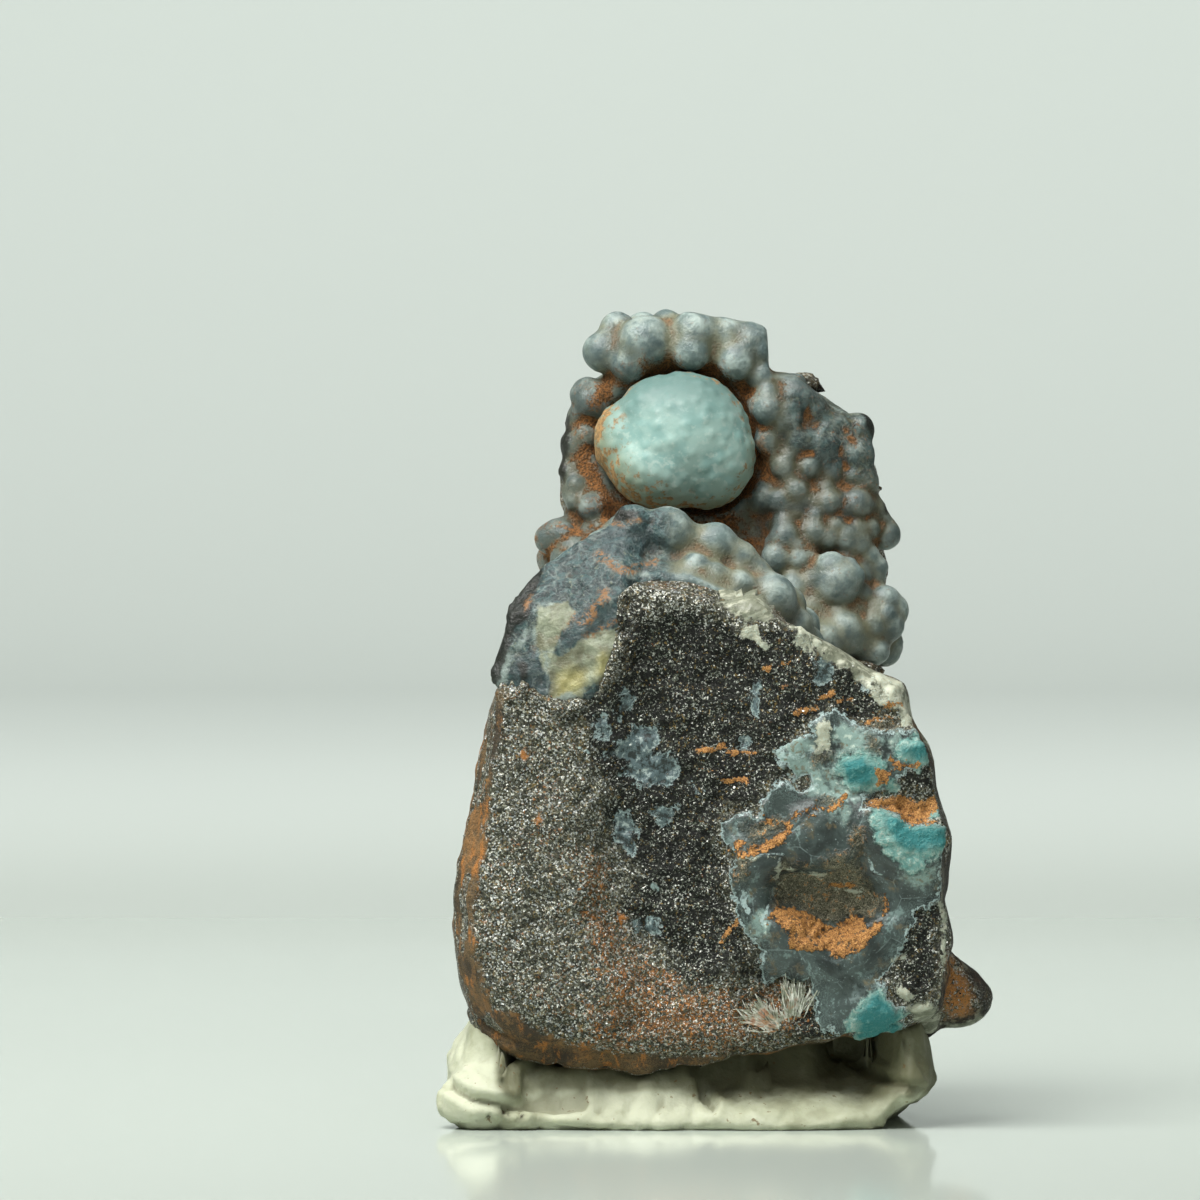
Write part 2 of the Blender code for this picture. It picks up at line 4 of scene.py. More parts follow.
import bmesh
import bpy
import numpy as np
from mathutils import Euler, Matrix, Vector, noise
from mathutils.bvhtree import BVHTree


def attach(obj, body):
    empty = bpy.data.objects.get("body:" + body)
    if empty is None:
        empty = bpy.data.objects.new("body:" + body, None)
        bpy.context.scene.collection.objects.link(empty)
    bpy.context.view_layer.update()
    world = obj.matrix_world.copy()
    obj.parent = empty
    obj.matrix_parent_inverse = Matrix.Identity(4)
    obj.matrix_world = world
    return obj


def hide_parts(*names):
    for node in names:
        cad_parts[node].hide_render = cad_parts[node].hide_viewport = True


# Shattuckite ball and botryoidal chalcedony on hematite rock, in a pad of putty.
# Shapes are worked out in millimetres and brought to metres when a piece is finished.
# X runs to the right and Y away from whoever faces the broken front face, Z up.

startTime = time.time()
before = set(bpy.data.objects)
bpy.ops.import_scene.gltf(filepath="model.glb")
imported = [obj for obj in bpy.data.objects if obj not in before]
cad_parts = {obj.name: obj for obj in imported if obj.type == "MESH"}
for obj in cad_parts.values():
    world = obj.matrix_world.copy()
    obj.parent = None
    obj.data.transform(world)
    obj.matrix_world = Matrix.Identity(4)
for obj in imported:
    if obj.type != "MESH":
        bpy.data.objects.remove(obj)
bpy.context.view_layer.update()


def report(stage):
    print(f"{time.time() - startTime:6.1f} s  {stage}")


# Meshes

def linked(name, mesh):
    made = bpy.data.objects.new(name, mesh)
    bpy.context.scene.collection.objects.link(made)
    return made


def workingCopy(node, name):
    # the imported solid's mesh, merged and in millimetres
    bm = bmesh.new()
    bm.from_mesh(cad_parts[node].data)
    bmesh.ops.remove_doubles(bm, verts=bm.verts, dist=1e-7)
    bmesh.ops.scale(bm, vec=(1000, 1000, 1000), verts=bm.verts)
    mesh = bpy.data.meshes.new(name)
    bm.to_mesh(mesh)
    bm.free()
    return linked(name, mesh)


def settled(thing):
    # the modifiers become mesh
    graph = bpy.context.evaluated_depsgraph_get()
    mesh = bpy.data.meshes.new_from_object(thing.evaluated_get(graph))
    thing.modifiers.clear()
    old = thing.data
    thing.data = mesh
    bpy.data.meshes.remove(old)
    return thing


def fused(thing, voxel):
    remesh = thing.modifiers.new("fuse", "REMESH")
    remesh.mode = "VOXEL"
    remesh.voxel_size = voxel
    return settled(thing)


def points(mesh):
    flat = np.empty(len(mesh.vertices) * 3)
    mesh.vertices.foreach_get("co", flat)
    return flat.reshape(-1, 3)


def normals(mesh):
    flat = np.empty(len(mesh.vertices) * 3)
    mesh.vertex_normals.foreach_get("vector", flat)
    return flat.reshape(-1, 3)


def place(mesh, where):
    mesh.vertices.foreach_set("co", np.ascontiguousarray(where).ravel())
    mesh.update()


def edgePairs(mesh):
    flat = np.empty(len(mesh.edges) * 2, dtype=np.int64)
    mesh.edges.foreach_get("vertices", flat)
    return flat.reshape(-1, 2)


def smoothed(where, pairs, times, share=0.6):
    # every point moves towards the middle of its neighbours
    count = len(where)
    degree = np.bincount(pairs.ravel(), minlength=count)[:, None].clip(1)
    where = where.copy()
    for _ in range(times):
        total = np.empty_like(where)
        for axis in range(3):
            one, other = where[pairs[:, 0], axis], where[pairs[:, 1], axis]
            total[:, axis] = (
                np.bincount(pairs[:, 0], other, count) + np.bincount(pairs[:, 1], one, count)
            )
        where += share * (total / degree - where)
    return where


def hollowness(mesh, times):
    # how deep each point lies under its surroundings, in mm; below 0 on bumps
    where = points(mesh)
    return ((smoothed(where, edgePairs(mesh), times) - where) * normals(mesh)).sum(1)


def keep(mesh, name, values):
    # one number for each point, for the shaders and the scattering
    mesh.attributes.new(name, "FLOAT", "POINT").data.foreach_set(
        "value", np.ascontiguousarray(values, dtype=np.float32)
    )


def ease(t):
    t = np.clip(t, 0.0, 1.0)
    return t * t * (3 - 2 * t)


def lineDistance(x, z, line, closed=False):
    ends = line[1:] + line[:1] if closed else line[1:]
    nearest = np.full(x.shape, 1e9)
    for (ax, az), (bx, bz) in zip(line, ends):
        dx, dz = bx - ax, bz - az
        t = np.clip(((x - ax) * dx + (z - az) * dz) / (dx * dx + dz * dz), 0, 1)
        nearest = np.minimum(nearest, np.hypot(x - ax - t * dx, z - az - t * dz))
    return nearest


def insideBy(x, z, outline):
    # how far inside the outline, in mm; below 0 outside
    within = np.zeros(x.shape, dtype=bool)
    for (ax, az), (bx, bz) in zip(outline, outline[1:] + outline[:1]):
        if az != bz:
            crosses = ((az > z) != (bz > z)) & (x < (bx - ax) * (z - az) / (bz - az) + ax)
            within ^= crosses
    away = lineDistance(x, z, outline, closed=True)
    return np.where(within, away, -away)


def mapOf(x, z, patches=(), seams=()):
    # the best of several outlines and of lines with a half width
    best = np.full(x.shape, -9.0)
    for outline in patches:
        best = np.maximum(best, insideBy(x, z, outline))
    for line, halfWidth in seams:
        best = np.maximum(best, halfWidth - lineDistance(x, z, line))
    return best


def rough(where, size, octaves, offset=0.0):
    # fractal noise, about -1 to 1, with features of the given size in mm
    shift = Vector((offset, -offset, 2 * offset))
    return np.array([
        noise.fractal(Vector(p) / size + shift, 1.0, 2.0, octaves, noise_basis="PERLIN_ORIGINAL")
        for p in where
    ])


def cracked(where, size, offset=0.0):
    # 0 on the borders of random cells of the given size, up to about 0.5 inside them
    shift = Vector((offset, offset, -offset))
    out = np.empty(len(where))
    for i, p in enumerate(where):
        near = noise.voronoi(Vector(p) / size + shift)[0]
        out[i] = near[1] - near[0]
    return out


# Node trees, for shaders and for geometry

class Wire:
    # one output of a node; numbers and other wires can be added to it and so on
    def __init__(self, recipe, socket):
        self.recipe = recipe
        self.socket = socket

    def sum(self, operation, first, second=0.0, clamp=False):
        return self.recipe.node(
            "ShaderNodeMath", {"operation": operation, "use_clamp": clamp}, {0: first, 1: second}
        )[0]

    def __add__(self, other):
        return self.sum("ADD", self, other)

    def __radd__(self, other):
        return self.sum("ADD", other, self)

    def __sub__(self, other):
        return self.sum("SUBTRACT", self, other)

    def __rsub__(self, other):
        return self.sum("SUBTRACT", other, self)

    def __mul__(self, other):
        return self.sum("MULTIPLY", self, other)

    def __rmul__(self, other):
        return self.sum("MULTIPLY", other, self)

    def __truediv__(self, other):
        return self.sum("DIVIDE", self, other)

    def __pow__(self, other):
        return self.sum("POWER", self, other)

    def __or__(self, other):
        return self.sum("MAXIMUM", self, other)

    def __and__(self, other):
        return self.sum("MINIMUM", self, other)

    def held(self):
        return self.sum("ADD", self, 0.0, clamp=True)

    def rise(self, low, high):
        # 0 below low and 1 above high, with a soft step between; falls where low is above high
        start, end = (0.0, 1.0) if low < high else (1.0, 0.0)
        return self.recipe.node(
            "ShaderNodeMapRange", {"interpolation_type": "SMOOTHSTEP"},
            {"Value": self, "From Min": min(low, high), "From Max": max(low, high), "To Min": start, "To Max": end},
        )["Result"]


class Made:
    def __init__(self, recipe, node):
        self.recipe = recipe
        self.made = node

    def __getitem__(self, key):
        return Wire(self.recipe, self.made.outputs[key])


class Recipe:
    def __init__(self, tree):
        self.tree = tree
        tree.nodes.clear()

    def node(self, kind, settings=None, inputs=None):
        made = self.tree.nodes.new(kind)
        for key, value in (settings or {}).items():
            setattr(made, key, value)
        for key, value in (inputs or {}).items():
            if isinstance(value, Wire):
                self.tree.links.new(value.socket, made.inputs[key])
            else:
                made.inputs[key].default_value = value
        return Made(self, made)

    def join(self, wire, made, key):
        self.tree.links.new(wire.socket, made.made.inputs[key])


def paint(red, green, blue):
    # a colour as it looks on a screen, 0 to 255
    def linear(c):
        c /= 255
        return c / 12.92 if c <= 0.04045 else ((c + 0.055) / 1.055) ** 2.4
    return (linear(red), linear(green), linear(blue), 1.0)


class Finish(Recipe):
    # a material with one Principled shader and patterns measured in millimetres
    def __init__(self, name, **constants):
        self.material = bpy.data.materials.new(name)
        self.material.use_nodes = True
        super().__init__(self.material.node_tree)
        self.shader = self.node("ShaderNodeBsdfPrincipled", None, constants)
        out = self.node("ShaderNodeOutputMaterial")
        self.join(self.shader["BSDF"], out, "Surface")
        where = self.node("ShaderNodeTexCoord")["Object"]
        self.mm = self.node("ShaderNodeVectorMath", {"operation": "SCALE"}, {0: where, "Scale": 1000.0})[0]

    def feed(self, key, wire):
        self.join(wire, self.shader, key)

    def read(self, name):
        return self.node("ShaderNodeAttribute", {"attribute_name": name})["Fac"]

    def noise(self, size, detail=3.0, roughness=0.55, stretch=None, warp=0.0, turn=0.0):
        where = self.mm
        if turn:
            where = self.node("ShaderNodeVectorRotate", {"rotation_type": "Y_AXIS"}, {"Vector": where, "Angle": turn})[0]
        if stretch:
            where = self.node("ShaderNodeVectorMath", {"operation": "MULTIPLY"}, {0: where, 1: stretch})[0]
        return self.node("ShaderNodeTexNoise", None, {
            "Vector": where, "Scale": 1.0 / size, "Detail": detail, "Roughness": roughness, "Distortion": warp,
        })["Fac"]

    def cells(self, size, feature="F1", where=None):
        return self.node("ShaderNodeTexVoronoi", {"feature": feature}, {
            "Vector": where or self.mm, "Scale": 1.0 / size,
        })

    def part(self, colour, channel=0):
        return self.node("ShaderNodeSeparateColor", None, {0: colour})[channel]

    def mixed(self, share, under, over):
        return self.node("ShaderNodeMix", {"data_type": "FLOAT"}, {0: share, 2: under, 3: over})[0]

    def blend(self, share, under, over):
        return self.node("ShaderNodeMix", {"data_type": "RGBA"}, {0: share, 6: under, 7: over})[2]

    def layers(self, base, *coats):
        for share, colour in coats:
            base = self.blend(share, base, colour)
        return base

    def facets(self, cell, amount):
        # every cell of a pattern faces its own way, as grains do
        turned = self.node("ShaderNodeVectorMath", {"operation": "SUBTRACT"}, {0: cell["Color"], 1: (0.5, 0.5, 0.5)})[0]
        turned = self.node("ShaderNodeVectorMath", {"operation": "SCALE"}, {0: turned, "Scale": amount})[0]
        level = self.node("ShaderNodeNewGeometry")["Normal"]
        tilted = self.node("ShaderNodeVectorMath", {"operation": "ADD"}, {0: level, 1: turned})[0]
        return self.node("ShaderNodeVectorMath", {"operation": "NORMALIZE"}, {0: tilted})[0]

    def bump(self, height, depth, under=None):
        # depth is the height of a full step, in mm
        inputs = {"Height": height, "Distance": depth / 1000, "Strength": 1.0}
        if under:
            inputs["Normal"] = under
        return self.node("ShaderNodeBump", None, inputs)["Normal"]


class GeometryTree(Recipe):
    # a Geometry Nodes tree with named inputs, run once over a mesh
    def __init__(self, name, numbers):
        tree = bpy.data.node_groups.new(name, "GeometryNodeTree")
        super().__init__(tree)
        tree.interface.new_socket("Mesh", in_out="INPUT", socket_type="NodeSocketGeometry")
        kinds = {float: "NodeSocketFloat", int: "NodeSocketInt"}
        for key, value in numbers.items():
            socket = tree.interface.new_socket(key, in_out="INPUT", socket_type=kinds[type(value)])
            socket.default_value = value
        tree.interface.new_socket("Material", in_out="INPUT", socket_type="NodeSocketMaterial")
        tree.interface.new_socket("Mesh", in_out="OUTPUT", socket_type="NodeSocketGeometry")
        self.source = self.node("NodeGroupInput")

    def close(self, geometry):
        whole = self.node("GeometryNodeRealizeInstances", None, {"Geometry": geometry})["Geometry"]
        dressed = self.node("GeometryNodeSetMaterial", None, {
            "Geometry": whole, "Material": self.source["Material"],
        })["Geometry"]
        out = self.node("NodeGroupOutput")
        self.join(dressed, out, 0)
        return self.tree


def grownFrom(thing, tree, values, material=None):
    # the tree's inputs are set by identifier, and its result becomes the mesh
    modifier = thing.modifiers.new(tree.name, "NODES")
    modifier.node_group = tree
    for item in tree.interface.items_tree:
        if item.in_out == "INPUT" and item.name in values:
            modifier[item.identifier] = values[item.name]
        if item.in_out == "INPUT" and item.name == "Material" and material:
            modifier[item.identifier] = material
    return settled(thing)


def scatterTree(name, shape, withBase, turned):
    # small shapes set into a surface, as many as the attribute "scatter" allows
    tree = GeometryTree(name, {"Spacing": 0.5, "Density": 1.0, "Smallest": 0.2, "Largest": 0.4, "Sink": 0.0, "Seed": 1})
    source = tree.source
    share = tree.node("GeometryNodeInputNamedAttribute", {"data_type": "FLOAT"}, {"Name": "scatter"})["Attribute"]
    spots = tree.node("GeometryNodeDistributePointsOnFaces", {"distribute_method": "POISSON"}, {
        "Mesh": source["Mesh"], "Distance Min": source["Spacing"], "Density Max": source["Density"],
        "Density Factor": share, "Seed": source["Seed"],
    })
    size = tree.node("FunctionNodeRandomValue", {"data_type": "FLOAT"}, {
        2: source["Smallest"], 3: source["Largest"], "Seed": source["Seed"],
    })[1]
    sunk = tree.node("ShaderNodeVectorMath", {"operation": "SCALE"}, {
        0: spots["Normal"], "Scale": size * source["Sink"] * -1.0,
    })[0]
    spotsIn = tree.node("GeometryNodeSetPosition", None, {"Geometry": spots["Points"], "Offset": sunk})["Geometry"]
    if turned:
        turn = tree.node("FunctionNodeRandomValue", {"data_type": "FLOAT_VECTOR"}, {
            0: (-math.pi,) * 3, 1: (math.pi,) * 3, "Seed": source["Seed"],
        })[0]
    else:
        turn = spots["Rotation"]
    copies = tree.node("GeometryNodeInstanceOnPoints", None, {
        "Points": spotsIn, "Instance": shape(tree), "Rotation": turn, "Scale": size,
    })["Instances"]
    if withBase:
        both = tree.node("GeometryNodeJoinGeometry")
        tree.join(source["Mesh"], both, 0)
        tree.join(copies, both, 0)
        copies = both[0]
    return tree.close(copies)


def lumpShape(tree):
    return tree.node("GeometryNodeMeshIcoSphere", None, {"Radius": 1.0, "Subdivisions": 3})["Mesh"]


def grainShape(tree):
    return tree.node("GeometryNodeMeshIcoSphere", None, {"Radius": 1.0, "Subdivisions": 1})["Mesh"]


def plateShape(tree):
    return tree.node("GeometryNodeMeshCylinder", {"fill_type": "NGON"}, {"Vertices": 6, "Radius": 1.0, "Depth": 0.3})["Mesh"]


def finishPiece(thing, node, smoothAngle=None):
    mesh = thing.data
    mesh.transform(Matrix.Scale(0.001, 4))
    mesh.shade_smooth()
    if smoothAngle:
        mesh.set_sharp_from_angle(angle=math.radians(smoothAngle))
    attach(thing, "root")
    if node:
        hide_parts(node)
    report(f"{thing.name}: {sum(len(p.vertices) - 2 for p in mesh.polygons)} triangles")


def wear(thing, material):
    thing.data.materials.clear()
    thing.data.materials.append(material)


# What grows on the broken front face: outlines and lines in X and Z, in mm

faceMinerals = {
    "blobs": [
        [(-3.1, 16.3), (-2.25, 16.15), (-2.0, 15.5), (-2.3, 15.15), (-1.9, 15.1), (-1.4, 14.9), (-1.2, 14.3),
         (-1.8, 13.85), (-2.6, 13.8), (-3.6, 14.3), (-3.3, 14.75), (-4.2, 15.1), (-3.7, 15.6), (-3.4, 15.8)],
        [(-4.0, 12.4), (-3.7, 12.7), (-3.3, 12.8), (-3.0, 12.4), (-3.05, 11.2), (-3.2, 11.1), (-3.8, 11.7)],
        [(-2.1, 13.0), (-1.3, 12.95), (-1.4, 12.6), (-1.9, 12.2), (-2.1, 12.4)],
        [(-3.2, 8.3), (-2.2, 8.4), (-2.1, 8.0), (-2.9, 7.9)],
        [(1.0, 15.85), (1.3, 15.9), (1.55, 15.6), (1.5, 15.35), (1.2, 15.4)],
        [(4.1, 18.9), (4.9, 19.0), (4.85, 18.2), (4.45, 17.75), (4.05, 18.05), (4.2, 18.5)],
        [(-0.9, 13.95), (-0.6, 14.1), (-0.35, 13.7), (-0.6, 13.6)],
        [(1.65, 18.2), (1.95, 18.1), (1.95, 16.7), (1.7, 16.7)],
        [(-4.6, 16.6), (-4.2, 16.7), (-4.1, 15.8), (-4.5, 15.9)],
        [(-3.9, 16.9), (-3.4, 17.6), (-3.1, 17.5), (-3.2, 16.9), (-3.6, 16.5)],
        [(-2.6, 12.9), (-2.3, 12.6), (-1.9, 12.7), (-2.2, 13.1)],
        [(6.2, 18.3), (6.6, 18.4), (6.7, 17.9), (6.4, 17.6), (6.1, 17.9)],
    ],
    "silver": [
        [(-3.3, 20.9), (-2.9, 21.8), (-1.5, 22.1), (0.1, 21.6), (0.6, 21.1), (-0.6, 20.6), (-1.8, 20.3), (-2.8, 20.2)],
        [(-2.6, 10.2), (-1.6, 10.4), (-0.8, 9.6), (-0.9, 8.6), (-2.0, 8.8), (-2.8, 9.4)],
        [(-1.0, 17.4), (-0.2, 17.6), (0.2, 17.0), (-0.6, 16.6), (-1.2, 16.9)],
    ],
    "lake": [
        [(4.95, 17.0), (5.5, 16.6), (6.05, 16.2), (7.4, 16.1), (8.1, 16.15), (8.75, 15.6), (8.95, 14.9),
         (8.3, 14.55), (7.75, 14.4), (7.5, 14.0), (7.2, 13.65), (6.5, 13.7), (6.15, 13.35), (6.2, 13.0),
         (7.0, 12.95), (8.0, 12.4), (9.35, 12.4), (9.45, 12.1), (9.25, 11.4), (9.15, 10.4), (9.2, 9.35),
         (8.75, 8.9), (8.2, 8.8), (8.1, 8.3), (7.9, 7.7), (7.5, 7.2), (7.2, 6.8), (7.1, 6.45), (6.6, 6.1),
         (6.95, 6.0), (7.1, 5.5), (7.4, 5.1), (7.9, 4.9), (7.9, 4.5), (7.75, 3.7), (6.0, 3.3), (5.1, 3.75),
         (4.75, 4.15), (4.45, 4.0), (4.3, 4.5), (4.2, 5.0), (4.1, 5.6), (4.0, 6.2), (3.4, 6.0), (2.9, 6.2),
         (2.2, 5.9), (2.0, 6.6), (2.15, 7.3), (1.75, 7.6), (1.4, 7.95), (1.2, 8.4), (1.1, 9.0), (0.95, 9.6),
         (0.75, 10.0), (0.75, 10.6), (1.0, 11.1), (0.6, 11.5), (0.38, 11.9), (0.5, 12.3), (1.0, 12.7),
         (1.6, 12.75), (1.9, 12.6), (2.0, 13.1), (2.4, 13.6), (2.9, 14.1), (3.2, 13.95), (3.5, 13.55),
         (4.1, 13.8), (4.0, 14.25), (3.5, 14.2), (3.3, 14.5), (3.0, 14.8), (2.5, 15.2), (3.1, 15.5),
         (3.7, 15.9), (4.1, 16.0), (3.85, 16.2), (4.1, 16.5), (4.6, 16.8)],
    ],
    "grit": [
        [(2.45, 10.2), (2.9, 11.0), (3.3, 10.75), (4.4, 10.7), (5.0, 11.1), (5.8, 11.0), (6.1, 10.3),
         (6.6, 9.6), (6.95, 9.1), (6.6, 8.5), (5.8, 8.6), (5.0, 8.2), (4.2, 8.5), (3.4, 8.9), (2.5, 9.0)],
        [(1.0, 11.0), (1.45, 10.95), (1.5, 10.4), (1.3, 10.05), (1.0, 10.15), (0.95, 10.6)],
        [(3.2, 7.95), (4.4, 7.9), (4.7, 7.6), (3.4, 7.5)],
        [(6.2, 16.3), (6.6, 16.5), (7.2, 16.5), (7.5, 16.25), (7.2, 16.1), (6.7, 16.15)],
        [(1.4, 12.2), (2.4, 12.5), (3.0, 12.5), (2.9, 12.0), (2.0, 11.6), (1.5, 11.5)],
        [(4.5, 15.2), (4.9, 15.25), (4.8, 14.9), (4.2, 14.7), (4.1, 14.95)],
        [(6.3, 15.8), (6.6, 15.8), (6.7, 15.2), (6.35, 15.35)],
        [(4.4, 13.3), (5.0, 13.4), (5.0, 13.05), (4.4, 13.05)],
        [(5.7, 12.3), (6.1, 12.1), (6.1, 11.3), (5.7, 11.2), (5.6, 11.7)],
    ],
    "teal": [
        [(5.0, 15.0), (5.5, 15.25), (6.4, 15.3), (7.0, 14.9), (7.1, 14.3), (6.8, 13.75), (5.7, 13.5), (5.2, 13.9),
         (5.0, 14.4)],
        [(7.3, 15.1), (7.6, 15.8), (8.2, 16.0), (8.8, 15.5), (8.95, 14.9), (8.3, 14.5), (7.6, 14.7)],
        [(6.4, 12.9), (7.0, 12.9), (7.6, 12.5), (8.0, 12.3), (9.4, 12.4), (9.4, 11.7), (9.2, 11.2), (8.8, 10.9),
         (8.3, 10.5), (7.7, 10.5), (7.1, 11.1), (6.6, 11.6)],
        [(8.6, 12.7), (9.1, 13.2), (9.5, 13.2), (9.5, 12.5), (8.8, 12.45)],
        [(6.9, 5.85), (6.3, 5.45), (5.8, 4.9), (5.4, 4.4), (5.2, 3.9), (5.9, 3.4), (7.7, 3.6), (7.85, 4.7),
         (7.35, 5.0), (7.05, 5.5)],
        [(7.0, 14.3), (7.4, 14.3), (7.4, 13.7), (7.0, 13.6)],
    ],
    "deepTeal": [
        [(5.3, 14.8), (6.2, 15.0), (6.7, 14.5), (6.3, 13.9), (5.5, 14.0)],
        [(7.7, 15.3), (8.3, 15.7), (8.6, 15.1), (8.2, 14.7)],
        [(6.9, 12.7), (8.0, 12.2), (9.3, 12.3), (9.3, 11.5), (8.0, 11.35), (7.5, 11.5)],
        [(6.7, 5.5), (6.0, 4.6), (5.9, 3.8), (7.5, 3.8), (7.5, 4.7), (7.0, 5.2)],
    ],
    "clay": [
        [(1.05, 11.05), (1.5, 11.3), (2.0, 11.55), (2.6, 11.8), (3.0, 12.1), (3.2, 12.3), (3.2, 11.9),
         (2.9, 11.45), (2.3, 11.2), (1.6, 11.08)],
        [(2.25, 8.5), (2.6, 8.9), (3.2, 8.85), (4.0, 8.55), (4.6, 8.15), (5.0, 8.1), (5.3, 8.45), (5.9, 8.6),
         (6.35, 8.2), (6.9, 8.4), (6.7, 8.0), (6.1, 7.4), (5.6, 7.1), (5.05, 6.9), (4.6, 7.2), (3.9, 7.35),
         (3.2, 7.35), (3.1, 7.9), (2.7, 8.35)],
        [(6.15, 12.98), (6.3, 13.25), (6.9, 13.3), (7.3, 13.35), (7.7, 13.55), (8.2, 13.2), (8.6, 13.25),
         (9.05, 13.5), (9.2, 13.75), (9.3, 13.2), (8.9, 12.85), (8.6, 12.5), (9.3, 12.42), (8.3, 12.28),
         (7.9, 12.3), (7.55, 12.55), (7.2, 12.85), (6.8, 12.98)],
        [(7.1, 15.1), (7.7, 14.85), (8.3, 14.8), (8.0, 14.55), (7.3, 14.55)],
        [(6.6, 14.6), (7.3, 14.5), (7.1, 14.0), (6.7, 14.0)],
    ],
    "cream": [
        [(6.35, 18.6), (7.1, 18.5), (8.1, 17.95), (8.4, 17.0), (8.7, 16.1), (8.2, 16.1), (7.75, 16.25),
         (7.5, 16.6), (7.3, 16.95), (6.9, 17.1), (6.4, 17.4), (6.35, 17.9)],
        [(4.2, 16.25), (4.45, 16.45), (4.8, 16.4), (4.85, 15.25), (4.2, 15.2)],
        [(3.35, 20.3), (3.45, 19.6), (3.8, 19.25), (4.1, 19.2), (4.35, 19.5), (4.4, 20.2)],
        [(1.1, 20.0), (1.3, 19.75), (1.7, 19.6), (2.2, 19.3), (2.35, 19.45), (2.0, 19.9), (1.9, 20.3), (1.4, 20.3)],
        [(9.1, 9.2), (9.8, 9.3), (9.7, 8.3), (9.2, 8.3)],
        [(7.4, 5.5), (7.6, 6.0), (7.9, 5.6), (8.1, 5.4), (7.8, 5.25)],
    ],
    "clear": [
        [(4.3, 19.9), (4.6, 19.3), (5.4, 18.75), (6.3, 18.2), (6.4, 18.8), (5.4, 19.5)],
        [(-0.1, 22.0), (0.3, 21.3), (0.9, 20.9), (1.5, 20.55), (2.2, 20.45), (2.6, 20.75), (3.1, 20.3), (3.7, 19.75),
         (4.3, 19.35), (5.4, 18.6), (6.3, 18.05), (7.2, 17.4), (7.7, 17.7), (6.4, 19.3), (4.4, 20.6), (0.5, 22.8)],
        [(8.15, 16.4), (8.5, 16.8), (9.0, 15.0), (8.8, 14.9)],
        [(8.0, 4.9), (8.8, 5.1), (9.2, 4.8), (9.2, 3.6), (8.1, 3.6), (8.2, 4.3)],
        [(9.25, 3.6), (11.6, 3.6), (11.5, 4.7), (10.9, 4.5), (10.0, 4.2), (9.25, 4.3)],
    ],
    "ochre": [
        [(9.35, 4.2), (9.3, 5.7), (9.4, 7.0), (9.9, 6.8), (10.4, 5.9), (10.8, 5.0), (10.6, 4.4), (9.9, 4.1)],
    ],
    "blackRim": [
        [(10.1, 6.9), (10.5, 6.2), (11.0, 5.3), (11.5, 4.8), (11.3, 3.9), (10.7, 4.2), (10.75, 4.9), (10.3, 5.8)],
        [(9.15, 8.0), (9.45, 7.9), (9.35, 7.0), (9.2, 6.4), (9.1, 7.0)],
    ],
    "dark": [
        [(-3.5, 21.4), (0.2, 21.2), (3.0, 20.1), (4.4, 19.3), (6.2, 18.4), (6.3, 17.2), (6.0, 16.4), (4.6, 16.9),
         (3.6, 15.9), (2.3, 15.2), (3.1, 14.4), (1.8, 13.2), (1.7, 12.8), (0.4, 12.5), (0.3, 11.6), (0.8, 10.8),
         (0.6, 9.9), (1.0, 9.0), (1.2, 8.0), (1.9, 7.4), (1.9, 6.2), (0.6, 6.6), (-0.8, 6.3), (-1.8, 7.4),
         (-3.2, 8.6), (-3.6, 11.0), (-4.2, 13.5), (-4.8, 15.0), (-5.3, 16.8), (-4.0, 17.9), (-3.7, 19.2)],
        [(7.3, 7.0), (8.2, 8.6), (9.0, 8.8), (9.2, 7.0), (9.0, 5.2), (7.5, 5.0), (7.2, 6.0)],
        [(7.5, 14.2), (8.7, 14.6), (9.3, 13.8), (8.6, 13.4), (7.7, 13.6)],
        [(4.0, 5.8), (4.4, 4.0), (5.2, 3.4), (3.8, 3.0), (3.6, 4.0)],
    ],
    "rind": [
        [(-9.0, 3.7), (-8.75, 4.95), (-9.2, 6.2), (-9.5, 7.5), (-9.55, 8.8), (-9.3, 10.2), (-9.05, 11.0),
         (-8.95, 12.5), (-8.7, 14.0), (-8.55, 15.5), (-8.3, 16.6), (-8.2, 17.8), (-10.0, 18.0), (-12.0, 9.0),
         (-11.0, 3.0), (-9.5, 1.5)],
        [(-9.3, 4.6), (-8.7, 4.9), (-7.6, 4.6), (-6.7, 4.0), (-5.5, 3.5), (-4.0, 3.2), (0.0, 2.9), (4.0, 3.3),
         (4.0, 1.0), (-8.0, 1.0), (-10.5, 3.0)],
    ],
    "veil": [
        [(3.7, 15.2), (4.3, 15.0), (5.0, 16.4), (5.6, 16.2), (6.4, 15.9), (7.6, 16.0), (8.4, 15.6), (8.6, 14.9),
         (7.5, 14.6), (6.4, 14.3), (6.0, 13.4), (5.3, 12.5), (4.9, 12.6), (4.6, 13.4), (3.9, 13.6), (3.6, 14.4)],
        [(2.4, 15.2), (3.6, 15.9), (4.1, 15.5), (3.6, 14.4), (3.1, 14.3)],
        [(1.5, 8.4), (1.9, 8.9), (2.3, 8.6), (2.2, 7.8), (1.7, 7.7)],
        [(7.5, 10.5), (8.6, 10.6), (9.2, 10.8), (9.0, 10.1), (8.0, 10.0)],
    ],
    "dots": [
        [(-7.1, 12.5), (-6.9, 12.7), (-6.7, 12.5), (-6.9, 12.3)],
        [(-7.6, 15.1), (-7.5, 15.25), (-7.4, 15.1), (-7.5, 15.0)],
        [(-3.7, 8.5), (-3.6, 8.75), (-3.4, 8.5), (-3.6, 8.3)],
    ],
    "rustGrains": [
        [(-4.4, 7.4), (-2.5, 6.9), (-1.0, 5.6), (1.0, 5.6), (1.8, 4.6), (1.0, 3.2), (-5.0, 3.2), (-4.6, 5.0)],
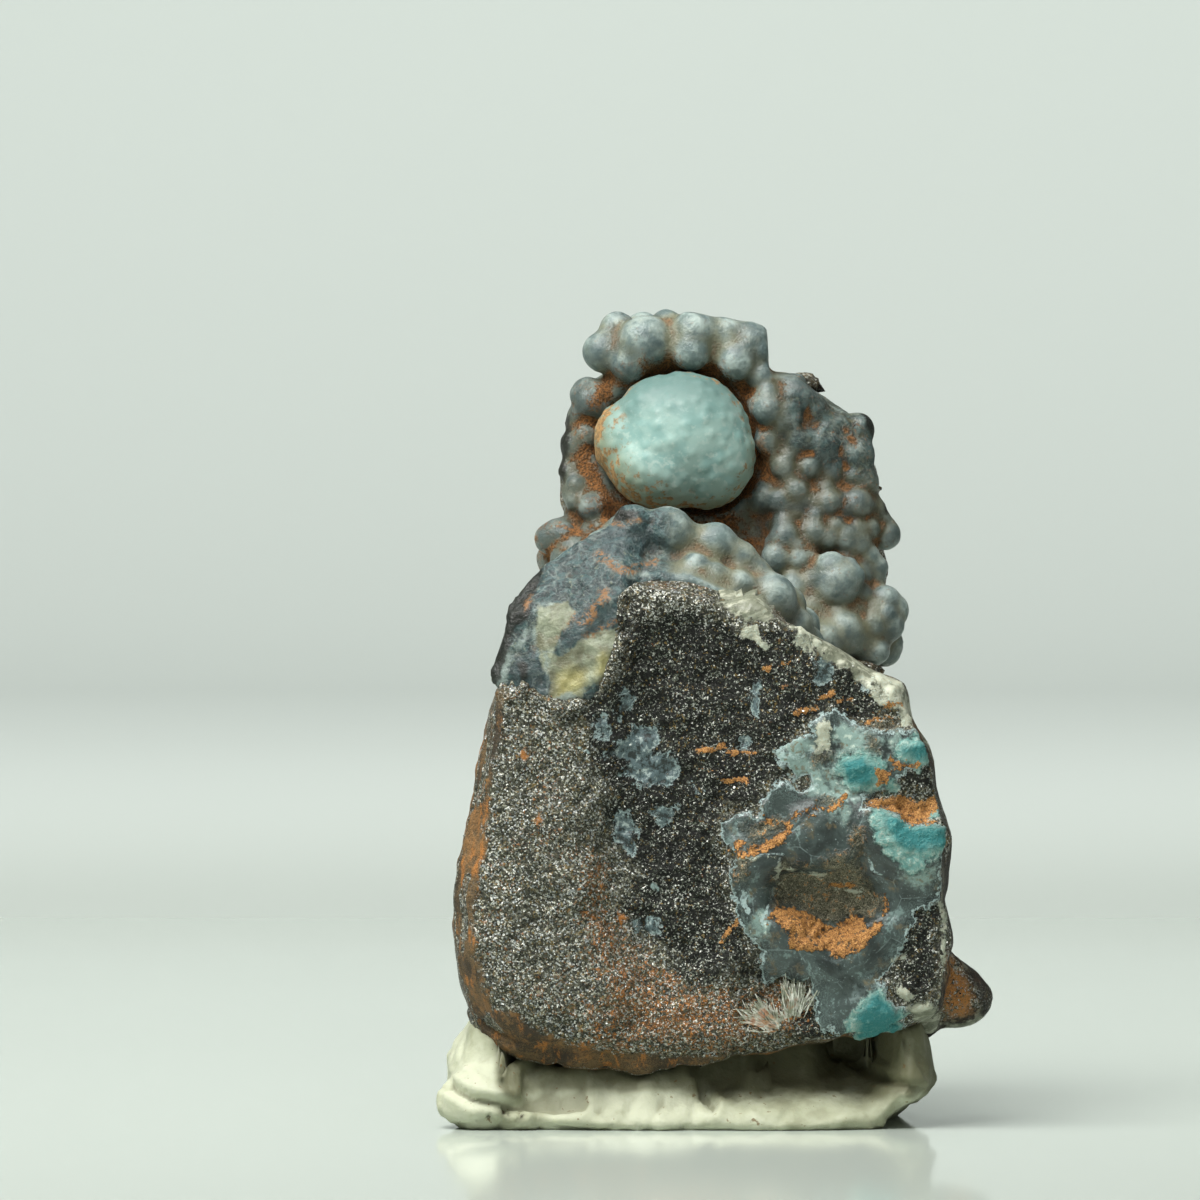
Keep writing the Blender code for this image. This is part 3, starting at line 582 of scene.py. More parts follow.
        [(-4.6, 11.0), (-4.2, 9.0), (-3.4, 7.6), (-2.6, 6.6), (-3.8, 5.6), (-4.8, 7.6), (-5.2, 9.6)],
        [(1.2, 5.5), (2.4, 6.2), (3.9, 5.6), (4.0, 4.2), (1.4, 3.8)],
    ],
}

faceSeams = {
    "paleLine": [
        ([(1.16, 11.08), (2.0, 11.12), (2.9, 11.15)], 0.05),
        ([(2.75, 11.1), (2.6, 10.2), (2.25, 9.05), (2.1, 8.4)], 0.05),
        ([(5.85, 13.2), (5.8, 12.0), (6.2, 11.3)], 0.03),
        ([(6.23, 13.05), (6.05, 12.4), (6.09, 11.72), (6.49, 10.52), (7.56, 10.12)], 0.05),
        ([(2.45, 15.3), (3.3, 15.0), (4.1, 15.3)], 0.05),
        ([(3.5, 13.6), (3.2, 14.2), (2.5, 15.1)], 0.04),
        ([(1.1, 10.0), (1.35, 9.6), (1.3, 9.2), (1.6, 8.8)], 0.03),
        ([(4.9, 16.4), (5.0, 15.2), (4.9, 14.2), (5.4, 13.4)], 0.03),
        ([(-5.3, 15.4), (-4.9, 15.2)], 0.06), ([(-3.75, 13.0), (-3.6, 12.9)], 0.07), ([(-4.0, 10.5), (-3.8, 10.3)], 0.06),
        ([(-2.3, 9.8), (-2.1, 9.6)], 0.06), ([(-1.9, 9.4), (-1.75, 9.25)], 0.05), ([(0.7, 9.5), (0.9, 9.4)], 0.05),
        ([(-5.6, 9.2), (-5.45, 9.1)], 0.04), ([(-7.2, 11.3), (-7.1, 11.25)], 0.04), ([(-3.0, 5.9), (-2.8, 5.8)], 0.05),
    ],
    "clay": [
        ([(3.05, 12.1), (3.3, 12.6), (3.5, 12.72), (4.0, 12.85), (4.5, 12.95), (4.9, 12.9), (5.2, 13.08), (5.36, 13.5)], 0.055),
        ([(0.7, 11.27), (1.0, 11.35), (1.35, 11.65)], 0.06),
        ([(6.2, 16.35), (6.6, 16.55), (7.0, 16.65), (7.45, 16.56)], 0.04),
        ([(7.0, 17.04), (7.6, 17.1), (8.1, 17.17)], 0.04),
        ([(3.3, 16.75), (3.8, 16.9), (4.2, 16.98)], 0.05),
        ([(4.2, 17.25), (4.6, 17.45), (4.85, 17.62)], 0.05),
        ([(5.0, 17.1), (5.3, 17.3), (5.6, 17.35)], 0.03),
        ([(0.05, 14.45), (0.35, 14.1), (0.8, 14.02), (1.5, 14.05)], 0.045),
        ([(-0.5, 15.3), (0.4, 15.25), (1.2, 15.1), (1.9, 15.2)], 0.035),
        ([(0.4, 15.4), (0.8, 15.75)], 0.025),
        ([(2.0, 18.42), (2.25, 18.48), (2.35, 18.65)], 0.03),
        ([(2.7, 18.65), (3.2, 18.85)], 0.025),
        ([(0.5, 7.6), (0.75, 8.1), (1.1, 8.4)], 0.045),
        ([(7.1, 9.4), (7.18, 8.95), (6.95, 8.6)], 0.035),
        ([(4.8, 9.85), (5.4, 9.88), (5.85, 9.85)], 0.05),
        ([(3.3, 10.5), (3.9, 10.42), (4.6, 10.45)], 0.05),
        ([(2.1, 12.7), (2.5, 12.2), (2.7, 12.3)], 0.05),
    ],
    "cream": [
        ([(3.0, 10.6), (3.5, 10.55), (4.5, 10.35)], 0.07),
        ([(5.0, 9.7), (5.7, 9.62), (6.0, 9.7)], 0.08),
        ([(7.4, 6.9), (7.6, 6.4), (7.5, 5.9)], 0.025),
        ([(7.7, 7.0), (8.0, 6.7), (8.2, 6.9)], 0.02),
        ([(7.7, 5.6), (7.95, 6.3)], 0.02),
        ([(2.7, 10.9), (2.6, 10.3), (2.7, 10.0)], 0.06),
        ([(1.1, 10.97), (2.0, 11.02), (2.7, 11.05)], 0.03),
        ([(9.35, 8.2), (9.3, 7.0), (9.2, 6.0), (9.15, 5.0), (9.2, 3.9)], 0.06),
    ],
}

# What shows on the broken facets of the chalcedony at the upper left, in X and Z
crustMinerals = {
    "creamFacet": [
        [(-6.95, 21.0), (-6.5, 21.05), (-5.8, 21.2), (-5.5, 20.8), (-5.7, 20.3), (-6.1, 19.7), (-6.15, 19.2),
         (-6.6, 19.2), (-7.0, 19.5), (-7.05, 20.4)],
        [(-6.9, 19.2), (-5.9, 19.1), (-4.8, 19.9), (-3.7, 20.2), (-3.5, 19.6), (-3.9, 19.0), (-4.0, 18.2),
         (-5.0, 17.85), (-5.2, 17.0), (-6.5, 16.9), (-6.5, 17.5), (-6.4, 18.0)],
    ],
    "yellow": [[(-6.2, 17.5), (-6.1, 18.3), (-5.5, 18.6), (-5.0, 18.4), (-5.1, 17.8), (-5.5, 17.5)],
               [(-4.6, 18.3), (-4.3, 19.2), (-4.0, 19.0), (-4.1, 18.4)]],
    "white": [
        [(-6.4, 17.0), (-6.2, 17.4), (-5.6, 17.6), (-5.1, 17.4), (-5.2, 16.9)],
        [(-8.6, 17.7), (-8.45, 18.6), (-8.2, 19.3), (-8.0, 19.0), (-8.1, 18.0)],
        [(-4.2, 17.9), (-4.1, 18.6), (-3.85, 19.1), (-3.75, 19.0), (-3.9, 18.1)],
        [(-6.1, 23.3), (-5.7, 23.7), (-5.4, 24.0), (-5.5, 23.6), (-5.9, 23.2)],
        [(-4.5, 24.3), (-4.2, 24.6), (-4.0, 24.5), (-4.3, 24.2)],
    ],
    "slate": [
        [(-6.1, 19.1), (-5.6, 19.35), (-4.7, 19.9), (-3.8, 20.4), (-3.75, 20.8), (-4.1, 21.1), (-5.0, 20.95),
         (-5.45, 20.6), (-5.85, 20.1)],
        [(-4.3, 23.0), (-2.2, 23.1), (-1.9, 23.5), (-2.3, 24.0), (-3.4, 24.2), (-4.5, 24.0)],
        [(-7.9, 17.2), (-6.5, 17.2), (-6.4, 18.4), (-7.0, 19.1), (-7.9, 19.0)],
    ],
    "black": [
        [(5.8, 28.5), (6.1, 27.9), (6.5, 26.6), (6.75, 25.2), (6.95, 24.0), (8.2, 24.0), (7.9, 26.5), (7.2, 28.8)],
        [(-6.9, 29.2), (-5.5, 29.0), (-5.35, 27.5), (-5.5, 26.2), (-5.7, 25.2), (-6.9, 25.0)],
        [(-9.8, 16.8), (-8.6, 17.2), (-8.3, 18.6), (-7.85, 20.0), (-7.3, 21.0), (-6.8, 22.2), (-7.3, 23.6), (-9.9, 21.5)],
        [(-7.6, 20.4), (-7.2, 20.6), (-7.2, 21.0), (-7.65, 21.1)],
        [(-7.6, 21.4), (-7.1, 21.7), (-6.95, 22.3), (-7.4, 22.4)],
        [(-7.7, 17.9), (-7.25, 18.0), (-7.35, 18.8), (-7.7, 18.7)],
        [(-4.0, 24.35), (-3.2, 24.3), (-2.9, 24.6), (-3.4, 24.85), (-4.1, 24.8)],
    ],
}
crustSeams = {
    "orange": [
        ([(-4.9, 19.85), (-4.3, 20.2), (-3.75, 20.5)], 0.1),
        ([(-5.45, 20.75), (-5.7, 20.3), (-6.1, 19.8)], 0.05),
        ([(-5.0, 20.4), (-4.6, 20.9), (-4.2, 21.5)], 0.22),
        ([(-4.5, 22.95), (-4.0, 22.7), (-3.4, 22.35), (-2.6, 22.6), (-1.9, 22.65)], 0.13),
        ([(-3.2, 21.6), (-2.2, 21.9), (-1.4, 22.35), (-0.7, 22.8)], 0.12),
        ([(-4.3, 24.2), (-3.6, 24.15), (-2.9, 24.35)], 0.07),
        ([(-7.4, 20.9), (-7.2, 21.3)], 0.05),
        ([(-0.6, 23.1), (-0.2, 22.6), (0.2, 22.4)], 0.13),
        ([(0.3, 21.6), (0.9, 21.1), (1.4, 21.3)], 0.12),
    ],
    "white": [
        ([(-7.95, 19.0), (-7.6, 19.5), (-7.4, 20.1)], 0.06),
        ([(-5.95, 23.5), (-5.55, 23.9), (-5.0, 24.15), (-4.4, 24.5)], 0.045),
        ([(-7.05, 19.6), (-7.1, 20.6), (-6.9, 21.05), (-6.4, 21.1)], 0.03),
        ([(-3.3, 22.15), (-2.8, 22.25), (-2.4, 22.2)], 0.09),
        ([(-6.6, 19.15), (-6.5, 18.2), (-6.6, 17.4)], 0.035),
    ],
}

# lumps of chalcedony: X, Y, Z and radius
ridgeLumps = [
    (-3.1, -4.9, 24.05, 0.95), (-1.75, -4.8, 23.8, 1.12), (-2.5, -3.6, 23.5, 1.0), (-0.75, -4.6, 23.4, 0.8),
    (0.2, -4.6, 23.35, 0.92), (1.15, -4.5, 22.75, 0.8), (0.4, -3.1, 22.7, 0.95), (1.75, -4.5, 22.05, 0.8),
    (2.4, -5.1, 21.15, 1.12), (1.1, -5.7, 21.7, 0.7), (2.95, -3.6, 20.75, 0.98), (3.35, -4.6, 20.0, 0.85),
    (-0.6, -5.9, 22.5, 0.6), (0.2, -5.9, 22.2, 0.55), (3.9, -3.8, 19.3, 0.75),
    (-4.2, -3.4, 22.9, 1.05), (-5.4, -3.9, 22.0, 1.0), (-6.3, -4.4, 21.0, 0.9), (-1.0, -2.7, 22.4, 0.95),
    (-5.0, -4.4, 19.9, 1.0), (-4.0, -3.3, 19.8, 1.0), (-6.2, -4.8, 19.2, 0.9), (-3.0, -3.2, 20.2, 0.95),
    (1.5, -4.2, 20.0, 0.9), (2.6, -4.5, 19.2, 0.85), (3.5, -3.8, 18.7, 0.8), (-6.9, -4.9, 18.6, 0.8),
    (-3.6, -2.2, 21.7, 1.0), (1.6, -2.4, 21.3, 0.95), (3.6, -2.2, 19.9, 0.9), (-5.3, -2.4, 20.6, 0.95),
]
wallLumps = [
    # along the top
    (-4.35, 3.0, 30.8, 0.85), (-3.75, 3.5, 31.7, 0.75), (-2.6, 2.5, 31.2, 1.12), (-3.2, 2.4, 30.4, 0.85),
    (-1.75, 3.4, 31.9, 0.65), (-0.6, 2.6, 31.6, 0.95), (-0.75, 2.2, 30.8, 0.8), (0.6, 2.9, 31.4, 0.9),
    (1.6, 2.9, 31.1, 0.95), (1.1, 2.3, 30.4, 0.8), (-2.7, 4.6, 31.6, 0.8), (-0.6, 4.5, 31.5, 0.85),
    (1.2, 4.4, 31.2, 0.85), (1.8, 3.2, 30.2, 0.8), (1.9, 4.2, 30.4, 0.8),
    # left of the ball
    (-4.75, 3.1, 28.9, 0.8), (-5.15, 3.4, 28.1, 0.7), (-5.4, 3.2, 27.0, 0.7), (-5.5, 3.1, 26.0, 0.62),
    (-5.3, 2.7, 25.1, 0.75), (-4.7, 2.2, 24.5, 0.7), (-6.1, 2.3, 23.3, 0.82), (-5.4, 1.6, 22.6, 0.9),
    (-6.2, 3.4, 22.2, 0.8), (-4.6, 0.6, 21.6, 0.95), (-4.4, 1.7, 23.4, 0.7), (-3.4, 1.2, 23.5, 0.65),
    # right of the ball, upper part
    (2.6, 2.9, 29.7, 0.8), (3.4, 2.4, 29.0, 0.75), (2.4, 2.2, 28.6, 0.85), (3.0, 2.1, 28.1, 0.8),
    (4.1, 2.8, 28.5, 0.75), (5.0, 3.0, 27.8, 0.75), (6.0, 3.4, 27.6, 0.75), (4.5, 2.5, 27.0, 0.9),
    (3.6, 2.1, 27.2, 0.7), (5.9, 2.9, 26.6, 0.85), (2.35, 2.0, 27.2, 0.6), (3.0, 2.0, 26.4, 0.6),
    (3.9, 2.2, 26.0, 0.7), (3.25, 1.7, 25.6, 0.48), (4.8, 2.4, 25.8, 0.7), (6.2, 2.8, 25.5, 0.75),
    # right of the ball, lower part
    (2.3, 1.9, 24.9, 0.62), (3.05, 1.6, 24.5, 0.58), (3.7, 1.7, 24.8, 0.52), (4.35, 1.8, 24.7, 0.6),
    (5.05, 2.0, 24.7, 0.6), (5.8, 2.3, 24.6, 0.68), (6.6, 2.9, 24.3, 0.66), (4.2, 1.5, 23.5, 0.75),
    (3.1, 1.3, 23.4, 0.6), (2.7, 1.1, 22.7, 0.6), (3.6, 1.1, 22.6, 0.6), (5.0, 1.7, 23.5, 0.62),
    (5.9, 1.9, 23.1, 0.75), (6.35, 2.4, 23.7, 0.55), (7.0, 3.1, 23.4, 0.66), (6.5, 2.0, 22.0, 0.6),
    (5.1, 0.8, 21.5, 1.14), (6.75, 1.6, 20.1, 1.2), (6.35, 1.2, 18.95, 1.0), (5.3, 0.4, 19.5, 1.05),
    (4.1, 0.5, 20.4, 0.75), (4.0, 0.9, 21.5, 0.7), (3.4, 0.6, 21.2, 0.65), (4.5, -0.4, 19.2, 0.85),
    (6.9, 3.0, 19.0, 0.95), (3.4, -0.6, 19.9, 0.8),
]
# where the chalcedony is broken off flat: centre, size and turn of a block, and its face that shows
brokenEnds = [
    ((3.35, 3.2, 31.6), (2.0, 6.0, 3.4), (0, -3, 0), 0),
    ((1.0, 3.2, 33.15), (4.6, 6.0, 2.0), (0, 9, 0), 2),
    ((-4.75, -5.2, 25.25), (3.2, 4.0, 1.6), (0, -36, 0), 2),
    ((7.95, 4.4, 27.0), (1.6, 5.0, 5.4), (0, -12, 0), 0),
]


# Hematite rock

rockLook = {
    "voxel": 0.235,  # spacing of the mesh; the front face gets half of it
    "seatReach": 1.1,  # how far from the pieces it carries the rock is raised to meet them
    "seatLift": 0.42,
    "seam": [  # where rock has grown up against the chalcedony, in X and Z
        (-8.6, 17.45), (-8.0, 17.4), (-7.5, 17.05), (-7.0, 16.9), (-6.5, 16.75), (-5.9, 16.6), (-5.2, 16.7), (-4.8, 17.1),
        (-4.75, 17.5), (-4.3, 17.5), (-3.7, 17.85), (-3.6, 18.6), (-3.35, 19.2), (-3.1, 19.8), (-3.2, 20.3),
        (-3.15, 20.9), (-2.8, 21.25),
    ],
    "seamDepth": -8.08, "seamRadius": 0.42,
    "crestLift": 0.5,
    "lowEdge": [(-8.6, 2.8), (-7.6, 2.6), (-2.9, 2.12), (3.0, 3.05), (8.6, 4.1)],  # X, Z
    "leftEdge": [(3.6, -9.35), (4.5, -9.8), (6.3, -10.2), (8.3, -10.4), (10.1, -10.3), (14.3, -9.5), (17.9, -8.6)],  # Z, X
    "cornerLump": ((9.9, -4.6, 5.5), (1.5, 2.6, 1.95), 0.86, [
        (0.83, 0.0, 0.56), (0.2, -0.1, -0.97), (0.75, -0.6, -0.28), (0.3, -0.85, 0.43), (0.95, 0.3, 0.05),
        (0.1, -0.8, -0.6), (0.5, 0.7, 0.5), (0.6, 0.5, -0.6),
    ]),
    "grain": 0.068, "plates": 1.9,
    "grainTilt": 0.7,  # how much the grains face their own way
    "bumpDepth": 0.2,
    "leftDark": (38, 39, 29), "leftMid": (74, 75, 60), "leftLight": (128, 127, 106), "leftCool": (116, 125, 127),
    "blackDark": (8, 10, 6), "blackMid": (33, 37, 28), "blackLight": (82, 89, 76),
    "speck": (140, 118, 66), "sparkle": (232, 234, 226), "blobBlue": (78, 95, 97), "blobPale": (158, 172, 168),
    "rust": (176, 114, 50), "deepRust": (92, 62, 30),
    "rindBrown": (104, 84, 54), "rindOchre": (134, 98, 56), "rindDark": (54, 45, 31),
    "lakeBlue": (66, 78, 75), "lakeDeep": (36, 44, 42), "lakePale": (116, 137, 133), "lakeTan": (108, 96, 68),
    "rim": (174, 196, 194), "veil": (128, 152, 145),
    "teal": (106, 158, 151), "deepTeal": (42, 116, 116), "palest": (178, 194, 182),
    "clay": (166, 116, 60), "clayLight": (206, 156, 92), "clayDark": (104, 66, 30),
    "cream": (170, 172, 152), "clear": (116, 120, 102),
    "grit": (104, 102, 84), "gritDark": (60, 60, 47), "gritLight": (156, 152, 128),
}


def raiseTowards(where, facing, others, reach, lift):
    # points near other pieces are moved out along their normals to close the gap
    for other in others:
        tree = BVHTree.FromObject(other, bpy.context.evaluated_depsgraph_get())
        for i, p in enumerate(where):
            near = tree.find_nearest(Vector(p), reach)
            if near[0] is not None:
                towards = np.array(near[0]) - p
                if np.dot(towards, facing[i]) > 0.4 * near[3]:
                    share = float(ease((reach - near[3]) / (reach - lift)))
                    where[i] = p + facing[i] * lift * share
    return where


def straighten(where, moved, by, pivot, edge, share):
    # the lowest values of one axis follow a line along another axis
    steps = np.arange(edge[0][0], edge[-1][0], 0.3)
    reach = [where[(np.abs(where[:, by] - step) < 0.4) & (share > 0.5), moved].min() for step in steps]
    drawn = (np.interp(steps, *np.array(edge).T) - pivot) / (np.array(reach) - pivot)
    pull = 1 + (np.interp(where[:, by], steps, drawn) - 1) * share * (where[:, moved] < pivot)
    where[:, moved] = pivot + (where[:, moved] - pivot) * pull


def planed(where, centre, radii, depth, directions):
    # a lump is stretched a little, and cut by planes that face the given ways
    away = (where - np.array(centre)) / np.array(radii)
    near = ease((1.5 - np.linalg.norm(away, axis=1)) / 0.3) * ease((where[:, 0] - 9.2) / 0.5)
    where[:, 0] += 0.12 * (where[:, 0] - 9.2) * near
    for direction in directions:
        turned = np.array(direction) / np.linalg.norm(direction)
        limit = np.dot(centre, turned) + depth * np.linalg.norm(radii * turned)
        out = np.maximum(where @ turned - limit, 0) * near
        where -= out[:, None] * turned


def refineFront(thing, isFront):
    # the faces that pass the test are cut in four
    bm = bmesh.new()
    bm.from_mesh(thing.data)
    edges = {e for f in bm.faces if isFront(f.calc_center_median(), f.normal) for e in f.edges}
    bmesh.ops.subdivide_edges(bm, edges=list(edges), cuts=1, use_grid_fill=True)
    bmesh.ops.triangulate(bm, faces=[f for f in bm.faces if len(f.verts) > 4])
    bm.to_mesh(thing.data)
    bm.free()


def makeRock(look, carried):
    thing = workingCopy("matrix", "hematite_rock")
    addBalls(thing, alongLine(look["seam"], 0.22, look["seamDepth"], look["seamRadius"]), 2)
    fused(thing, look["voxel"])
    refineFront(thing, lambda at, facing: facing.y < -0.35 and at.y < -5.5)
    mesh = thing.data
    pairs = edgePairs(mesh)
    where = smoothed(points(mesh), pairs, 2, 0.5)
    place(mesh, where)
    where = raiseTowards(where, normals(mesh), carried, look["seatReach"], look["seatLift"])
    straighten(where, 0, 2, -5.0, look["leftEdge"], np.ones(len(where)))
    straighten(where, 2, 0, 8.0, look["lowEdge"], ease((-4.5 - where[:, 1]) / 1.5))
    x, y, z = where.T.copy()
    where[:, 2] += look["crestLift"] * ease((x - 0.6) / 1.4) * ease((6.6 - x) / 1.8) * ease((z - 17.0) / 2.0) * ease((-6.4 - y) / 0.8)
    planed(where, *look["cornerLump"])
    place(mesh, where)
    facing = normals(mesh)
    front = ease((-facing[:, 1] - 0.25) / 0.3) * ease((-5.0 - where[:, 1]) / 1.2)
    wobble = 0.16 * rough(where, 0.9, 3) + 0.05 * rough(where, 0.25, 2, 5.0)
    x, z = where[:, 0], where[:, 2]
    maps = {}
    for name in sorted(set(faceMinerals) | set(faceSeams)):
        maps[name] = mapOf(x, z, faceMinerals.get(name, ()), faceSeams.get(name, ()))
        reach = 0.3 if name in ("cream", "clear", "ochre", "blackRim") else 2.0
        maps[name] = maps[name] - np.where(where[:, 1] > -3.6, 7.0, reach) * (1 - front)

    def on(name, soft=0.12):
        return ease(0.5 + maps[name] / (2 * soft))

    coarse = rough(where, 1.6, 4, 2.0)
    crackle = cracked(where, 0.8, 3.0)
    layers = rough(where * np.array([0.4, 0.4, 1.5]), 0.9, 3, 6.0)
    calm = np.clip(on("lake") + on("rind"), 0, 1)
    height = 0.16 * coarse * (1 - 0.5 * calm) + 0.16 * (0.3 - crackle) * (1 - calm)
    height += 0.07 * layers * on("dark", 0.6) * (1 - calm)
    height += 0.13 * on("lake", 0.12) - 0.05 * on("grit", 0.3) + 0.03 * on("clay", 0.1)
    height += 0.10 * on("deepTeal", 0.2) + 0.08 * on("cream", 0.15) + 0.03 * on("clear", 0.2)
    height += (0.16 * rough(where, 0.4, 3, 9.0)) * np.clip(on("grit") + on("clay") + 0.6 * on("teal"), 0, 1)
    height += 0.10 * (0.3 - cracked(where, 1.5, 8.0)) * on("lake")
    height += 0.07 * rough(where, 0.3, 2, 7.0) * (1 - calm)
    where = where + facing * height[:, None] * (0.15 + 0.85 * front)[:, None]
    place(mesh, where)
    for name, values in maps.items():
        keep(mesh, name, values + wobble * (0.4 if name in ("clay", "cream") else 1.0))
    keep(mesh, "hollow", hollowness(mesh, 14))
    keep(mesh, "front", front)
    keep(mesh, "scatter", front * (1 - on("lake")) * (1 - on("rind")) * (1 - on("clay"))
         * (1 - on("cream")) * (1 - on("clear")) * (1 - on("teal")) * (0.85 - 0.45 * on("dark", 0.5)) * (1 - 0.6 * on("rustGrains", 0.5)))
    wear(thing, rockFinish(look))
    return thing


def rockFinish(look):
    f = Finish("hematite rock", **{"Specular IOR Level": 0.42})
    fleck, grit, clump = f.noise(0.05, 2, 0.6), f.noise(0.14, 3, 0.65), f.noise(0.42, 4, 0.6)
    streak = f.noise(0.09, 3, 0.65, stretch=(0.3, 1, 1), turn=-0.8)
    cloud, broad = f.noise(1.3, 4), f.noise(3.6, 3)
    spotty = f.noise(0.32, 4, 0.7)
    cell = f.cells(look["grain"])
    chance, tone = f.part(cell["Color"]), f.part(cell["Color"], 1)
    texture = fleck * 0.6 + grit * 0.3 + clump * 0.1
    edge = (clump - 0.5) * 0.8 + (grit - 0.5) * 0.45

    def on(name, soft=0.05):
        return (f.read(name) + edge).rise(-soft, soft)

    hollow, silver = f.read("hollow"), on("silver", 0.3)
    dark = (f.read("dark") + (cloud - 0.5) * 4.0 + edge * 1.5).rise(-0.4, 0.4)
    brushed = streak * 0.65 + fleck * 0.25 + grit * 0.1
    lit = chance + (brushed - 0.5) * 1.3 + (cloud - 0.5) * 0.4
    pale = f.blend(tone.rise(0.35, 0.65), paint(*look["leftLight"]), paint(*look["leftCool"]))
    left = f.layers(paint(*look["leftDark"]), (lit.rise(0.3, 0.42), paint(*look["leftMid"])), (lit.rise(0.64, 0.76), pale),
                    # painted highlight: the rarest grains of the left zone are painted near white
                    (lit.rise(0.95, 0.99) * 0.6, paint(*look["sparkle"])),
                    (f.noise(0.24, 3, 0.6).rise(0.57, 0.65) * tone.rise(0.3, 0.5) * 0.6, paint(*look["speck"])))
    lift = (cloud - 0.5) * 0.7 + (clump - 0.5) * 0.45 + silver * 0.1
    lit = chance + (texture - 0.5) * 0.8 + lift
    black = f.layers(paint(*look["blackDark"]), (lit.rise(0.46, 0.6), paint(*look["blackMid"])),
                     (lit.rise(0.84, 0.94), paint(*look["blackLight"])),
                     (f.noise(0.2, 3, 0.6).rise(0.58, 0.66) * tone.rise(0.4, 0.6) * 0.6, paint(*look["speck"])))
    colour = f.blend(dark, left, black)
    stained = on("rustGrains", 0.8)
    rusty = (grit * 0.6 + clump * 0.2 + cloud * 0.25 + stained * 0.1 - dark * 0.06).rise(0.57, 0.64) * (0.55 + stained * 0.4)
    rusty = rusty * (0.3 + tone.rise(0.25, 0.5) * 0.7)
    colour = f.blend(rusty, colour, f.blend((fleck * 0.5 + grit * 0.5).rise(0.48, 0.6), paint(*look["deepRust"]), paint(*look["rust"])))
    # painted highlight: sparse grains are painted near white as glints, a few more on the silver patches
    glint = (chance * 0.5 + fleck + silver * 0.06 - dark * 0.04).rise(0.955, 0.97)
    colour = f.blend(glint * (0.35 + tone * 0.6), colour, paint(*look["sparkle"]))

    upper = f.node("ShaderNodeSeparateXYZ", None, {0: f.mm})["Z"].rise(16.5, 19.0)
    rind = (on("rind", 0.12) | (1.0 - f.read("front")).rise(0.55, 0.95) * broad.rise(0.36, 0.5)) * (1.0 - upper * 0.85)
    rindColour = f.layers(paint(*look["rindDark"]), ((cloud * 0.5 + texture * 0.5).rise(0.42, 0.56), paint(*look["rindBrown"])),
                          ((broad * 0.5 + clump * 0.5).rise(0.5, 0.6) * 0.9, paint(*look["rindOchre"])),
                          (f.noise(0.5, 5, 0.7, stretch=(1, 1, 0.35)).rise(0.53, 0.64) * 0.8, paint(*look["rust"])),
                          (texture.rise(0.5, 0.42) * 0.6, paint(*look["rindDark"])))
    side = f.node("ShaderNodeSeparateXYZ", None, {0: f.mm})["X"].rise(7.6, 8.8)
    rindColour = f.blend(side * 0.92, rindColour, f.layers(
        paint(*look["blackDark"]), (texture.rise(0.46, 0.6), paint(*look["rindDark"])),
        ((cloud * 0.5 + clump * 0.5).rise(0.54, 0.6) * 0.8, paint(*look["clear"]))))
    colour = f.blend(rind, colour, rindColour)

    colour = f.blend(on("dots", 0.1) * 0.8, colour, paint(*look["rust"]))
    lake, lakeMap = on("lake", 0.03), f.read("lake") + edge
    tint = f.noise(1.1, 4, 0.6, warp=0.6)
    lakeColour = f.layers(paint(*look["lakeDeep"]), (tint.rise(0.36, 0.56), paint(*look["lakeBlue"])),
                          ((tint + (grit - 0.5) * 0.5).rise(0.58, 0.72), paint(*look["lakePale"])),
                          (f.noise(0.7, 4, 0.65).rise(0.56, 0.7) * 0.8, paint(*look["lakeTan"])),
                          (f.noise(0.1, 3).rise(0.62, 0.75) * 0.5, paint(*look["rim"])))
    plate = f.cells(look["plates"])
    lakeColour = f.blend(f.part(plate["Color"]).rise(0.3, 1.0) * 0.55, lakeColour, paint(*look["lakeDeep"]))
    crack = f.cells(look["plates"], "DISTANCE_TO_EDGE")["Distance"] + (clump - 0.5) * 0.06
    lakeColour = f.blend(crack.rise(0.02, 0.0) * (cloud * 0.5 + clump * 0.5).rise(0.46, 0.6) * 0.4, lakeColour, paint(*look["rim"]))
    bands = f.node("ShaderNodeMath", {"operation": "SINE"}, {0: lakeMap * 38.0 + cloud * 9.0})[0]
    lakeColour = f.blend(bands.rise(0.1, 0.9) * lakeMap.rise(0.75, 0.25) * 0.3, lakeColour, paint(*look["lakePale"]))
    veil = on("veil", 0.25) * (tint * 0.5 + clump * 0.5).rise(0.38, 0.54)
    lakeColour = f.blend(veil, lakeColour, f.layers(paint(*look["veil"]), (spotty.rise(0.55, 0.68), paint(*look["palest"])),
                                                    (spotty.rise(0.45, 0.38) * 0.7, paint(*look["lakeTan"]))))
    colour = f.blend(lake, colour, lakeColour)
    blob = (f.read("blobs") + edge * 1.3).rise(-0.1, 0.1)
    colour = f.blend(blob * (0.55 + grit).held(), colour, f.layers(
        paint(*look["lakeDeep"]), (spotty.rise(0.42, 0.5), paint(*look["blobBlue"])),
        (spotty.rise(0.54, 0.66), paint(*look["blobPale"]))))
    blobRim = (f.read("blobs") + edge * 1.3).rise(0.14, 0.04) * (f.read("blobs") + edge * 1.3).rise(-0.03, 0.03)
    colour = f.blend(blobRim * clump.rise(0.44, 0.54) * 0.8, colour, paint(*look["rim"]))
    rim = lakeMap.rise(0.13, 0.02) * lakeMap.rise(-0.03, 0.02) * (cloud * 0.5 + clump * 0.5).rise(0.3, 0.42)
    colour = f.blend(rim * 0.9, colour, paint(*look["rim"]))
    paleLine = (f.read("paleLine") + edge * 0.1).rise(0.0, 0.04) * (clump * 0.5 + grit * 0.5).rise(0.4, 0.55)
    colour = f.blend(paleLine * 0.75, colour, paint(*look["rim"]))
    clear = (f.read("clear") + 0.14 + edge).rise(-0.1, 0.1)
    flow = f.noise(0.3, 4, 0.6, stretch=(0.35, 1, 1), turn=0.5)
